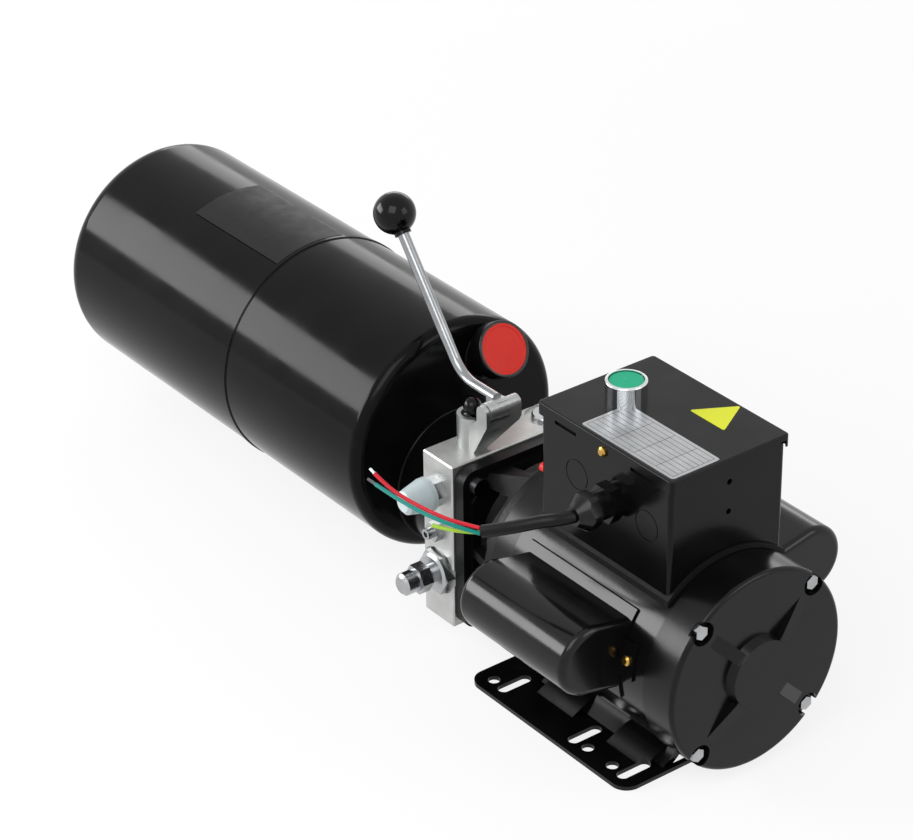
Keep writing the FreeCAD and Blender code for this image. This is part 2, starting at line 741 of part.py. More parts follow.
def drive_end_shield():
    """Drive end shield with the bearing seat and four holes for the through bolts."""
    hub = S.bearing_radius + S.hub_wall
    seat = S.bearing_radius + S.seat_gap
    spigot = S.shell_radius - S.shell_wall - S.slip_gap
    hub_end = S.shield_depth + 8
    shield = turned("drive_end_shield_cup", [
        (0, S.shaft_radius + S.slip_gap),
        (0, S.shell_radius),
        (S.shield_depth, S.shell_radius),
        (S.shield_depth, spigot),
        (S.shield_depth + 4, spigot),
        (S.shield_depth + 4, spigot - 5),
        (S.shield_wall, spigot - 8),
        (S.shield_wall, hub),
        (hub_end, hub),
        (hub_end, seat),
        (hub_end - S.bearing_width, seat),
        (hub_end - S.bearing_width, S.shaft_radius + S.slip_gap),
    ], on_axis(SHIELD_BACK))
    bosses = []
    holes = []
    for across, up in corners(BOLT_OFFSET):
        back = (SHIELD_BACK, across, AXIS_Z + up)
        bosses.append(cylinder("shield_bolt_boss", S.bolt_radius * 2.6, S.shield_depth + 4, back, "X"))
        holes.append(cylinder("shield_hole", S.bolt_radius + S.seat_gap, S.shield_depth + 6, back, "X"))
    limit = cylinder("shield_limit", spigot, S.shield_depth + 4, on_axis(SHIELD_BACK), "X")
    boss_set = common("shield_bosses", [fuse("shield_boss_set", bosses), limit])
    node(cut("shield_cut", fuse("shield_solid", [shield, boss_set]), holes), "drive_end_shield")


def stator():
    """Stator stack with a groove for each through bolt, and its two rings of end turns."""
    outer = S.shell_radius - S.shell_wall - S.slip_gap
    stack = turned("stator_stack", [
        (0, S.stator_bore),
        (0, outer),
        (S.stator_length, outer),
        (S.stator_length, S.stator_bore),
    ], on_axis(STATOR_BACK))
    grooves = []
    for across, up in corners(BOLT_OFFSET):
        back = (STATOR_BACK, across, AXIS_Z + up)
        grooves.append(cylinder("stator_groove", S.bolt_radius + 1, S.stator_length, back, "X"))
    node(cut("stator_cut", stack, grooves), "stator_core")
    rings = []
    winding_outer = BOLT_CIRCLE - S.bolt_radius - S.winding_room
    for start in (STATOR_BACK - S.winding_length, STATOR_BACK + S.stator_length):
        ring = turned("winding_ring", [
            (0, S.winding_inner),
            (0, winding_outer),
            (S.winding_length, winding_outer),
            (S.winding_length, S.winding_inner),
        ], on_axis(start))
        rings.append(ring)
    node(group("winding_rings", rings), "stator_windings")


def rotor():
    """Rotor stack on the shaft, the shaft itself and the sleeve that drives the pump."""
    rotor_radius = S.stator_bore - S.air_gap
    bore = S.shaft_radius + S.seat_gap
    ring = 6
    node(turned("rotor_stack", [
        (-ring, bore),
        (-ring, rotor_radius - 8),
        (0, rotor_radius),
        (S.stator_length, rotor_radius),
        (S.stator_length + ring, rotor_radius - 8),
        (S.stator_length + ring, bore),
    ], on_axis(STATOR_BACK)), "rotor_core")
    front_seat = S.motor_face_x - S.cover_wall - 4
    shaft_length = front_seat - SHAFT_BACK - 0.5
    node(cylinder("shaft_bar", S.shaft_radius, shaft_length, on_axis(SHAFT_BACK), "X"), "motor_shaft")
    sleeve_back = SHAFT_BACK - S.coupling_length / 2
    half = S.coupling_length / 2
    node(turned("coupling_sleeve_turned", [
        (0, S.stub_radius + S.seat_gap),
        (0, S.coupling_radius),
        (S.coupling_length, S.coupling_radius),
        (S.coupling_length, bore),
        (half, bore),
        (half, S.stub_radius + S.seat_gap),
    ], on_axis(sleeve_back)), "coupling_sleeve")


def shaft_bearings():
    front_seat = S.motor_face_x - S.cover_wall - 4
    back_seat = SHIELD_BACK + S.shield_depth + 8
    rings = []
    for start in (front_seat - S.bearing_width, back_seat - S.bearing_width):
        rings.append(turned("bearing_ring", [
            (0, S.shaft_radius + S.running_gap),
            (0, S.bearing_radius),
            (S.bearing_width, S.bearing_radius),
            (S.bearing_width, S.shaft_radius + S.running_gap),
        ], on_axis(start)))
    node(group("bearing_set", rings), "shaft_bearings")


def through_bolts():
    """Four long bolts that clamp the end cover, shell, drive end shield and adapter."""
    bolts = []
    seat = S.motor_face_x - S.notch_depth
    end = SHIELD_BACK - S.adapter_ring + 0.5
    for across, up in corners(BOLT_OFFSET):
        shank = cylinder("bolt_shank", S.bolt_radius, seat - end, (end, across, AXIS_Z + up), "X")
        head_place = (seat, across, AXIS_Z + up)
        head = hexagon("bolt_head", S.bolt_head_flats, S.bolt_head_height, head_place, "X")
        bolts.append(fuse("through_bolt", [shank, head]))
    node(group("through_bolt_set", bolts), "through_bolts")


def foot_plate():
    """Pressed foot: slotted flanges, a cradle that follows the shell and four gussets."""
    half_width = S.foot_width / 2
    plate = padded("foot_flat", [
        (S.foot_start_x, -half_width),
        (S.foot_start_x + S.foot_length, -half_width),
        (S.foot_start_x + S.foot_length, half_width),
        (S.foot_start_x, half_width),
    ], "XY_Plane", S.foot_sheet)

    def upright(edge):
        return edge.BoundBox.ZLength > 1e-3

    round_edges(plate, "foot_corners", S.foot_corner, upright)
    seat_radius = S.shell_radius + S.seat_gap
    rim = AXIS_Z - chord(seat_radius, S.cradle_half)
    cradle_at = (S.cradle_start_x, 0, AXIS_Z)
    band = cylinder("cradle_band", seat_radius + S.foot_sheet, S.cradle_length, cradle_at, "X")
    window = box("cradle_window", S.cradle_length, S.cradle_half * 2, AXIS_Z, (S.cradle_start_x, -S.cradle_half, 0))
    parts = [common("cradle_arc", [band, window])]
    inner_foot = S.cradle_foot_half - S.foot_sheet
    for side in (-1, 1):
        parts.append(padded("cradle_leg", [
            (side * (S.cradle_half - 2), rim - S.foot_sheet - 1.2),
            (side * (S.cradle_half - 2), rim - 1),
            (side * (S.cradle_half + 1.5), rim - 0.2),
            (side * (S.cradle_foot_half + 1.5), S.foot_sheet),
            (side * (S.cradle_foot_half + 1.5), 0),
            (side * (inner_foot - 1), 0),
        ], "YZ_Plane", S.cradle_length, (S.cradle_start_x, 0, 0)))
        gusset_starts = (
            S.cradle_start_x + S.gusset_inset,
            S.cradle_start_x + S.cradle_length - S.gusset_inset - S.gusset_length,
        )
        for start in gusset_starts:
            gusset = padded("foot_gusset", [
                (side * (S.cradle_half + 3), S.foot_sheet - 1),
                (side * (S.cradle_half + 3), rim - 2.5),
                (side * (S.cradle_foot_half - 3), rim - 5),
                (side * (S.cradle_foot_half + S.gusset_reach), S.foot_sheet),
                (side * (S.cradle_foot_half + S.gusset_reach), S.foot_sheet - 1),
            ], "YZ_Plane", S.gusset_length, (start, 0, 0))
            parts.append(gusset)
    opening = box("cradle_opening", S.cradle_length, inner_foot * 2, S.foot_sheet * 3,
                  (S.cradle_start_x, -inner_foot, -S.foot_sheet))
    holes = []
    slot_run = S.slot_length - S.slot_radius * 2
    deep = S.foot_sheet * 3
    for side in (-1, 1):
        for along in (S.slot_start_x, S.slot_start_x + S.slot_pitch_short, S.slot_start_x + S.slot_pitch):
            middle = side * S.slot_spacing / 2
            low = (along, middle - slot_run / 2, -S.foot_sheet)
            high = (along, middle + slot_run / 2, -S.foot_sheet)
            holes.append(cylinder("slot_end", S.slot_radius, deep, low))
            holes.append(cylinder("slot_end", S.slot_radius, deep, high))
            corner = (along - S.slot_radius, middle - slot_run / 2, -S.foot_sheet)
            holes.append(box("slot_run", S.slot_radius * 2, slot_run, deep, corner))
        for step in (0, S.hole_pitch_short, S.hole_pitch):
            spot = (step - S.hole_pitch / 2, side * S.hole_spacing / 2, -S.foot_sheet)
            holes.append(cylinder("foot_hole", S.hole_radius, deep, spot))
    hollow = cylinder("cradle_hollow", seat_radius, S.foot_length * 2,
                      (S.foot_start_x - S.foot_length / 2, 0, AXIS_Z), "X")
    open_plate = cut("foot_open", plate, [opening])
    solid = fuse("foot_solid", [open_plate] + parts)
    node(cut("foot_cut", solid, holes + [hollow]), "foot_plate")


# ---------------------------------------------------------------- capacitors

def capacitor_cover(side, label):
    """Drawn sheet cover over one capacitor, with flanges and two screw tabs on the shell."""
    inner_radius = S.can_cover_radius - S.can_cover_wall
    seat = S.shell_radius + S.slip_gap
    shell_reach = CAN_DISTANCE - chord(seat, S.can_cover_radius) + S.flange_reach

    def blank(name, radius, start, length):
        centre = (start, side * CAN_DISTANCE, 0)
        low_y = side * CAN_DISTANCE - shell_reach * ((1 + side) / 2)
        round_part = cylinder(name + "_round", radius, length, centre, "X")
        flat_part = box(name + "_flat", length, shell_reach, radius * 2, (start, low_y, -radius))
        return fuse(name, [round_part, flat_part])

    start = CAN_START
    outer = blank("can_cover_outer", S.can_cover_radius, start, S.can_cover_length)
    DOC.recompute()
    soft = DOC.addObject("Part::Fillet", "can_cover_soft")
    soft.Base = outer
    ends = (start.number, (start + S.can_cover_length).number)
    picked = []
    nearest = (CAN_DISTANCE - shell_reach * 0.75).number
    for number, edge in enumerate(outer.Shape.Edges, 1):
        for end in ends:
            if on_plane("X", end)(edge) and abs(edge.CenterOfMass.y) > nearest:
                picked.append((number, S.can_cover_round.number, S.can_cover_round.number))
    soft.Edges = picked
    inner = blank("can_cover_inner", inner_radius, start + S.can_cover_wall,
                  S.can_cover_length - S.can_cover_wall * 2)
    flange_half = S.can_cover_radius + S.flange_reach
    flange_radius = seat + S.can_cover_wall
    flange_tube = cylinder("can_flange_tube", flange_radius, S.can_cover_length, (start, 0, 0), "X")
    tab_span = S.can_cover_length + S.tab_length * 2
    tab_tube = cylinder("can_tab_tube", flange_radius, tab_span, (start - S.tab_length, 0, 0), "X")
    low_y = 0 if side > 0 else -CAN_DISTANCE
    flange_box = box("can_flange_box", S.can_cover_length, CAN_DISTANCE, flange_half * 2,
                     (start, low_y, -flange_half))
    tab_box = box("can_tab_box", tab_span, CAN_DISTANCE, S.tab_width,
                  (start - S.tab_length, low_y, -S.tab_width / 2))
    flange = common("can_flange", [flange_tube, flange_box])
    tabs = common("can_tabs", [tab_tube, tab_box])
    solid = fuse("can_cover_solid", [soft, flange, tabs])
    shell_space = cylinder("can_shell_space", seat, tab_span * 2, (start - S.tab_length * 2, 0, 0), "X")
    screw_holes = []
    for along in cover_screw_stations():
        spot = (along, 0, 0)
        screw_holes.append(cylinder("can_screw_hole", S.small_screw_radius + S.seat_gap,
                                    CAN_DISTANCE, spot, "Y" if side > 0 else "-Y"))
    cover = cut(label + "_cut", solid, [inner, shell_space] + screw_holes)
    place(cover, (0, 0, AXIS_Z), FreeCAD.Rotation(X_AXIS, side * S.can_cover_tilt.number))
    node(cover, label)


def cover_screw_stations():
    start = CAN_START
    return (start - S.tab_length / 2, start + S.can_cover_length + S.tab_length / 2)


def capacitors():
    """Start and run capacitor, each resting on the shell inside its cover."""
    cans = []
    start = CAN_START + (S.can_cover_length - S.capacitor_length) / 2
    for side in (-1, 1):
        distance = S.shell_radius + S.slip_gap + S.capacitor_radius
        can = cylinder("capacitor_can", S.capacitor_radius, S.capacitor_length, (start, side * distance, 0), "X")
        studs = cylinder("capacitor_studs", S.capacitor_radius / 3, 4,
                         (start + S.capacitor_length, side * distance, 0), "X")
        can = fuse("capacitor", [can, studs])
        place(can, (0, 0, AXIS_Z), FreeCAD.Rotation(X_AXIS, side * S.can_cover_tilt.number))
        cans.append(can)
    node(group("capacitor_set", cans), "capacitors")


def brass_screw(name, at, turn):
    """Pan-head screw whose seat is at the origin and whose shank points along its own -X."""
    edge = S.small_head_radius * 0.6
    return turned(name, [
        (-S.small_screw_length, 0),
        (-S.small_screw_length, S.small_screw_radius),
        (0, S.small_screw_radius),
        (0, S.small_head_radius),
        (S.small_head_height * 0.5, S.small_head_radius),
        (S.small_head_height, edge),
        (S.small_head_height, 0),
    ], at, turn=turn)


def brass_screws():
    """Pan-head screws in the two lips of the lid and in the tabs of the capacitor covers."""
    screws = []
    lid_z = AXIS_Z + S.lid_top - S.lid_slot_drop
    for side in (-1, 1):
        face = side * LID_HALF_WIDTH
        turn = FROM_X["Y" if side > 0 else "-Y"]
        screws.append(brass_screw("lid_screw", (LID_MIDDLE, face, lid_z), turn))
        radius = S.shell_radius + S.slip_gap + S.can_cover_wall
        tilt = S.can_cover_tilt
        way = FreeCAD.Rotation(X_AXIS, side * tilt.number).multiply(turn)
        for along in cover_screw_stations():
            spot = (along, side * radius * cosine(tilt), AXIS_Z + radius * sine(tilt))
            screws.append(brass_screw("cover_screw", spot, way))
    node(group("brass_screw_set", screws), "brass_screws")


# ---------------------------------------------------------------- junction box

BOX_TOP = AXIS_Z + S.lid_top - S.lid_wall
LID_LENGTH = S.box_length + S.lid_overhang * 2
LID_START = BOX_START - S.lid_overhang
LID_MIDDLE = LID_START + LID_LENGTH / 2
LID_HALF_WIDTH = S.box_width / 2 + S.slip_gap + S.lid_wall
SADDLE_OUTER = S.shell_radius + S.slip_gap + S.saddle_thickness


def rounded_block(name, along, across, up, at, corner):
    """A block with its four upright corners rounded."""
    block = padded(name, [(0, 0), (along, 0), (along, across), (0, across)], "XY_Plane", up, at)
    round_edges(block, name + "_corners", corner, lambda edge: edge.BoundBox.ZLength > 1e-3)
    return block


def junction_box():
    """Sheet box whose lower edge follows the shell, with knockouts and ventilation holes."""
    half = S.box_width / 2
    up = BOX_TOP - AXIS_Z
    outer = rounded_block("box_outer", S.box_length, S.box_width, up, (BOX_START, -half, AXIS_Z), S.box_corner)
    inner = box("box_inner", S.box_length - S.box_wall * 2, S.box_width - S.box_wall * 2, up * 2,
                (BOX_START + S.box_wall, -half + S.box_wall, AXIS_Z - up / 2))
    tools = [inner]
    saddle = cylinder("box_saddle_space", SADDLE_OUTER + S.seat_gap, S.box_length * 2,
                      (BOX_START - S.box_length / 2, 0, AXIS_Z), "X")
    tools.append(saddle)
    gland_spot = (GLAND_X, -half - 1, AXIS_Z + S.gland_height)
    tools.append(cylinder("box_gland_hole", S.gland_thread + S.seat_gap, S.box_wall + 2, gland_spot, "Y"))
    depth = S.box_wall * 0.4
    knockouts = (
        (S.knockout_first, S.knockout_first_height),
        (S.knockout_second, S.knockout_second_height),
    )
    for setback, height in knockouts:
        spot = (BOX_START + setback, -half, AXIS_Z + height)
        disc = cylinder("knockout_disc", S.knockout_radius, depth, spot, "Y")
        core = cylinder("knockout_core", S.knockout_radius - S.knockout_groove, depth * 2, spot, "Y")
        tools.append(cut("knockout_ring", disc, [core]))
    end = BOX_START + S.box_length
    for height in (S.lid_top - 19, S.lid_top - 41):
        spot = (end - S.box_wall - 1, 1, AXIS_Z + height)
        tools.append(cylinder("box_vent_hole", S.small_screw_radius + S.seat_gap, S.box_wall + 2, spot, "X"))
    reset_spot = (BOX_START - 1, S.reset_y, AXIS_Z + S.reset_height)
    tools.append(cylinder("box_reset_hole", S.reset_radius + S.running_gap, S.box_wall + 2, reset_spot, "X"))
    screw_z = AXIS_Z + S.lid_top - S.lid_slot_drop
    hole_radius = S.small_screw_radius + S.seat_gap
    tools.append(cylinder("box_screw_hole", hole_radius, S.box_width + 2, (LID_MIDDLE, -half - 1, screw_z), "Y"))
    node(cut("junction_box_cut", outer, tools), "junction_box")


def box_saddle():
    """Curved gasket between the shell and the junction box, with a hole for the motor leads."""
    half = S.box_width / 2 + S.saddle_reach
    start = BOX_START - S.saddle_reach
    length = S.box_length + S.saddle_reach * 2
    band = cylinder("saddle_band", SADDLE_OUTER, length, (start, 0, AXIS_Z), "X")
    window = box("saddle_window", length, half * 2, SADDLE_OUTER, (start, -half, AXIS_Z))
    shell_space = cylinder("saddle_shell_space", S.shell_radius + S.slip_gap, length, (start, 0, AXIS_Z), "X")
    lead_hole = cylinder("saddle_lead_hole", 12, SADDLE_OUTER * 2, (LID_MIDDLE, 0, AXIS_Z))
    node(cut("saddle_cut", common("saddle_arc", [band, window]), [shell_space, lead_hole]), "box_saddle")


def box_lid():
    """Folded lid: shallow lips at the ends, deep slotted lips on the long sides."""
    top = AXIS_Z + S.lid_top
    lip_bottom = top - S.lid_lip
    outer = rounded_block("lid_outer", LID_LENGTH, LID_HALF_WIDTH * 2, S.lid_lip,
                          (LID_START, -LID_HALF_WIDTH, lip_bottom), S.box_corner)
    round_edges(outer, "lid_top_edge", S.lid_wall, on_plane("Z", S.lid_lip))
    inner = box("lid_inner", LID_LENGTH - S.lid_wall * 2, (LID_HALF_WIDTH - S.lid_wall) * 2, S.lid_lip,
                (LID_START + S.lid_wall, -LID_HALF_WIDTH + S.lid_wall, lip_bottom - S.lid_wall))
    tabs = []
    tools = [inner]
    for end in (LID_START - 1, LID_START + LID_LENGTH - S.box_corner):
        tools.append(box("lid_end_relief", S.box_corner + 1, LID_HALF_WIDTH * 2 - S.box_corner * 2,
                         S.lid_lip - S.lid_end_lip, (end, -LID_HALF_WIDTH + S.box_corner, lip_bottom)))
    half = LID_LENGTH / 2 - S.tab_inset
    for side in (-1, 1):
        face = LID_HALF_WIDTH if side > 0 else S.lid_wall - LID_HALF_WIDTH
        tabs.append(padded("lid_tab", [
            (LID_MIDDLE - half, lip_bottom + 2),
            (LID_MIDDLE - half, lip_bottom),
            (LID_MIDDLE - half + S.tab_drop * 1.6, lip_bottom - S.tab_drop),
            (LID_MIDDLE + half - S.tab_drop * 1.6, lip_bottom - S.tab_drop),
            (LID_MIDDLE + half, lip_bottom),
            (LID_MIDDLE + half, lip_bottom + 2),
        ], "XZ_Plane", S.lid_wall, (0, face, 0)))
    slot_z = top - S.lid_slot_drop
    for offset in (-S.lid_slot_centre, S.lid_slot_centre):
        corner = (LID_MIDDLE + offset - S.lid_slot_length / 2, -LID_HALF_WIDTH - 1, slot_z - S.lid_slot_height / 2)
        tools.append(box("lid_slot", S.lid_slot_length, LID_HALF_WIDTH * 2 + 2, S.lid_slot_height, corner))
    screw_spot = (LID_MIDDLE, -LID_HALF_WIDTH - 1, slot_z)
    tools.append(cylinder("lid_screw_hole", S.small_screw_radius + S.seat_gap, LID_HALF_WIDTH * 2 + 2, screw_spot, "Y"))
    button_spot = (BUTTON_X, S.button_y, top - S.lid_wall * 2)
    tools.append(cylinder("lid_button_hole", S.bezel_neck + S.seat_gap, S.lid_wall * 3, button_spot))
    node(cut("lid_cut", fuse("lid_solid", [outer] + tabs), tools), "box_lid")


def push_button():
    """Chrome bezel, its sprung green cap and the contact block under the lid."""
    top = AXIS_Z + S.lid_top
    at = (BUTTON_X, S.button_y, top)
    bore = S.button_radius + S.slip_gap
    bore_floor = S.bezel_height - S.button_recess - S.button_thickness - S.button_travel - 0.5
    stem_bore = S.button_stem + S.running_gap
    below = -S.neck_length_below
    bezel = turned("bezel_turned", [
        (below, stem_bore),
        (below, S.bezel_neck),
        (0, S.bezel_neck),
        (0, S.bezel_radius),
        (S.bezel_height, S.bezel_radius),
        (S.bezel_height, bore),
        (bore_floor, bore),
        (bore_floor, stem_bore),
    ], at, "Z")
    round_edges(bezel, "bezel_rim", 1, circle_at(S.bezel_height, S.bezel_radius))
    node(bezel, "button_bezel")
    cap_top = S.bezel_height - S.button_recess
    cap = turned("button_cap_turned", [
        (below + 1, 0),
        (below + 1, S.button_stem),
        (cap_top - S.button_thickness, S.button_stem),
        (cap_top - S.button_thickness, S.button_radius),
        (cap_top, S.button_radius),
        (cap_top, 0),
    ], at, "Z")
    round_edges(cap, "button_cap_rim", 0.8, circle_at(cap_top, S.button_radius))
    node(cap, "button_cap")
    half = S.contact_width / 2
    body = box("contact_body", S.contact_width, S.contact_width, S.contact_height,
               (BUTTON_X - half, S.button_y - half, top + below - S.contact_height))
    well = cylinder("contact_well", S.button_stem + 1, S.button_travel + 2,
                    (BUTTON_X, S.button_y, top + below - S.button_travel - 2))
    node(cut("contact_cut", body, [well]), "contact_block")


def reset_button():
    """Red reset button of the thermal overload switch, flanged inside the box wall."""
    node(turned("reset_turned", [
        (-S.reset_reach, 0),
        (-S.reset_reach, S.reset_radius - 0.8),
        (-S.reset_reach + 0.8, S.reset_radius),
        (S.box_wall + S.slip_gap, S.reset_radius),
        (S.box_wall + S.slip_gap, S.reset_radius + 1.2),
        (S.box_wall + S.slip_gap + 2, S.reset_radius + 1.2),
        (S.box_wall + S.slip_gap + 2, 2),
        (S.box_wall + 8, 2),
        (S.box_wall + 8, 0),
    ], (BOX_START, S.reset_y, AXIS_Z + S.reset_height)), "reset_button")


def cable_gland():
    """Gland body screwed into the box wall and its dome nut round the cable."""
    wall = -S.box_width / 2
    at = (GLAND_X, wall, AXIS_Z + S.gland_height)
    bore = S.cable_radius + S.seat_gap
    collar = 3
    hex_start = collar
    hex_end = hex_start + S.gland_hex
    neck_end = hex_end + S.gland_neck
    core = turned("gland_core", [
        (-8, bore),
        (-8, S.gland_thread),
        (0, S.gland_thread),
        (0, S.gland_body + 2),
        (collar, S.gland_body + 2),
        (collar, S.gland_body),
        (neck_end, S.gland_body),
        (neck_end, bore),
    ], at, "-Y")
    hex_at = (GLAND_X, wall - hex_start, AXIS_Z + S.gland_height)
    hex_part = hexagon("gland_hex_part", S.gland_flats, S.gland_hex, hex_at, "-Y")
    hex_bore = cylinder("gland_hex_bore", S.gland_body - 1, S.gland_hex * 3,
                        (GLAND_X, wall, AXIS_Z + S.gland_height), "-Y")
    node(fuse("gland_fuse", [core, cut("gland_hex_ring", hex_part, [hex_bore])]), "cable_gland")
    nut_at = (GLAND_X, wall - neck_end, AXIS_Z + S.gland_height)
    dome = turned("gland_dome", [
        (0, bore),
        (0, S.gland_flats / 2 + 1),
        (S.gland_nut_length * 0.45, S.gland_flats / 2 + 1),
        (S.gland_nut_length * 0.8, S.gland_flats / 2 - 3),
        (S.gland_nut_length, S.cable_radius + 2.2),
        (S.gland_nut_length, bore),
    ], nut_at, "-Y")
    nut_hex = hexagon("gland_nut_hex", S.gland_flats, S.gland_nut_length, nut_at, "-Y")
    node(common("gland_nut_common", [dome, nut_hex]), "gland_nut")


# ---------------------------------------------------------------- cord

def cord_radii(points, share=0.45):
    """Each arc as large as its two runs allow."""
    radii = []
    for before, corner, after in zip(points, points[1:], points[2:]):
        first = corner - before
        second = after - corner
        half_turn = first.getAngle(second) / 2
        radii.append(share * min(first.Length, second.Length) / math.tan(half_turn))
    return radii


def cord(label, points, radius):
    points = [VECTOR(*point) for point in points]
    radii = cord_radii(points)
    wire = route_wire(points, radii)
    tube = tube_along(wire, radius)
    expected = math.pi * radius ** 2 * wire.Length
    print("%s length %.1f radii %s volume %.4f of section times length" % (
        label, wire.Length, [round(each, 1) for each in radii], tube.Volume / expected))
    return shape_node(label, tube)


def power_cord():
    """Sheathed cable from the gland and its three bare-ended cores."""
    cord("power_cable", CABLE_ROUTE, S.cable_radius.number)
    for label, route in CORE_ROUTES.items():
        cord(label, route, S.core_radius.number)


# points of the routes, chosen by hand from the gland's mouth outwards
CABLE_ROUTE = [
    (38.5, -84.5, 190.0),
    (37.0, -93.5, 190.6),
    (29.5, -103.5, 189.4),
    (21.5, -112.5, 186.0),
    (12.0, -120.5, 182.0),
    (0.6, -128.0, 177.4),
]
CORE_ROUTES = {
    "core_red": [
        (-0.8, -128.9, 179.6),
        (-19.3, -135.0, 177.4),
        (-43.6, -139.0, 176.0),
        (-70.6, -141.0, 175.2),
        (-86.5, -141.4, 176.8),
        (-97.5, -141.4, 179.5),
    ],
    "core_green": [
        (1.0, -130.0, 176.7),
        (-15.7, -137.8, 177.0),
        (-39.0, -142.5, 176.0),
        (-62.0, -144.8, 175.7),
        (-77.5, -145.4, 175.8),
        (-91.0, -145.6, 176.0),
    ],
    "core_ground": [
        (-0.4, -127.2, 175.6),
        (-16.3, -132.0, 170.7),
        (-29.7, -134.0, 166.7),
        (-43.5, -135.0, 163.2),
    ],
}


# ---------------------------------------------------------------- adapter and block

def adapter_housing():
    """Cast adapter: a square flange grows out of a round one, with ribs between side windows."""
    half = S.block_side / 2 - S.adapter_inset
    length = S.adapter_length
    square = rounded_square("adapter_square", half, S.adapter_flange, S.adapter_corner)
    ring = cylinder("adapter_round_flange", S.shell_radius, S.adapter_ring,
                    on_axis(SHIELD_BACK - S.adapter_ring), "X")
    body = new_body("adapter_loft_body", on_axis(BLOCK_FRONT))
    mouth = S.adapter_mouth
    first = sketch_on(body, "adapter_loft_square", "YZ_Plane", S.adapter_flange - 1)
    slant = S.adapter_mouth - 16
    outline(first, [
        (-mouth, -slant), (-slant, -mouth), (slant, -mouth), (mouth, -slant),
        (mouth, slant), (slant, mouth), (-slant, mouth), (-mouth, slant),
    ])
    reach = S.shell_radius - 9
    second = sketch_on(body, "adapter_loft_octagon", "YZ_Plane", length - S.adapter_ring + 1)
    corner = reach * math.tan(math.radians(22.5))
    outline(second, [
        (-reach, -corner), (-corner, -reach), (corner, -reach), (reach, -corner),
        (reach, corner), (corner, reach), (-corner, reach), (-reach, corner),
    ])
    loft = body.newObject("PartDesign::AdditiveLoft", "adapter_loft")
    loft.Profile = first
    loft.Sections = [second]
    loft.Ruled = True
    bore = cylinder("adapter_bore_space", S.adapter_bore, length - S.adapter_ring, on_axis(BLOCK_FRONT), "X")
    shaft_space = cylinder("adapter_shaft_space", S.bearing_radius, length * 2, on_axis(BLOCK_FRONT), "X")
    tools = [bore, shaft_space]
    start = BLOCK_FRONT + S.adapter_flange + 2
    half_window = S.window_width / 2
    for side in (-1, 1):
        low_y = S.coupling_radius * 2 if side > 0 else -S.shell_radius * 2
        for low_z in (S.rib_thickness / 2, -half_window * 2 - S.rib_thickness / 2):
            window = box("adapter_window", S.window_length, S.shell_radius * 2 - S.coupling_radius * 2,
                         half_window * 2, (start, low_y, AXIS_Z + low_z))
            tools.append(window)
    top_window = box("adapter_top_window", S.window_length, S.window_width, S.shell_radius * 2,
                     (start, -half_window, AXIS_Z + S.coupling_radius * 2))
    tools.append(top_window)
    for across, up in corners(BOLT_OFFSET):
        spot = (SHIELD_BACK - S.adapter_ring - 1, across, AXIS_Z + up)
        tools.append(cylinder("adapter_bolt_hole", S.bolt_radius + S.seat_gap, S.adapter_ring + 2, spot, "X"))
    for across, up in corners(S.block_screw_offset):
        hole_spot = (BLOCK_FRONT - 1, across, AXIS_Z + up)
        head_spot = (BLOCK_FRONT + S.adapter_flange, across, AXIS_Z + up)
        tools.append(cylinder("adapter_screw_hole", S.block_screw_radius + S.seat_gap,
                              S.adapter_flange + 2, hole_spot, "X"))
        head_room = S.adapter_length - S.adapter_flange - S.adapter_ring
        tools.append(cylinder("adapter_head_room", S.block_head_radius + 1, head_room, head_spot, "X"))
    solid = fuse("adapter_solid", [square, body, ring])
    node(cut("adapter_cut", solid, tools), "adapter_housing")


def rounded_square(name, half, thickness, corner):
    """A square plate about the motor axis, starting at the block's front face."""
    body = new_body(name, on_axis(BLOCK_FRONT))
    sketch = sketch_on(body, name + "_profile", "YZ_Plane")
    outline(sketch, [(-half, -half), (half, -half), (half, half), (-half, half)])
    pad = body.newObject("PartDesign::Pad", name + "_pad")
    pad.Profile = sketch
    bind(pad, "Length", thickness)
    round_edges(body, name + "_corners", corner, lambda edge: edge.BoundBox.XLength > 1e-3)
    return body


def adapter_screws():
    """Four socket head screws that hold the adapter on the manifold block."""
    screws = []
    under_head = BLOCK_FRONT + S.adapter_flange
    for across, up in corners(S.block_screw_offset):
        tip = (under_head - S.block_screw_length, across, AXIS_Z + up)
        head_at = (under_head, across, AXIS_Z + up)
        shank = cylinder("adapter_screw_shank", S.block_screw_radius, S.block_screw_length, tip, "X")
        head = cylinder("adapter_screw_head", S.block_head_radius, S.block_head_height, head_at, "X")
        socket_at = (under_head + S.block_head_height / 2, across, AXIS_Z + up)
        socket = hexagon("adapter_screw_socket", S.block_screw_radius * 1.5, S.block_head_height, socket_at, "X")
        screws.append(cut("adapter_screw", fuse("adapter_screw_solid", [shank, head]), [socket]))
    node(group("adapter_screw_set", screws), "adapter_screws")


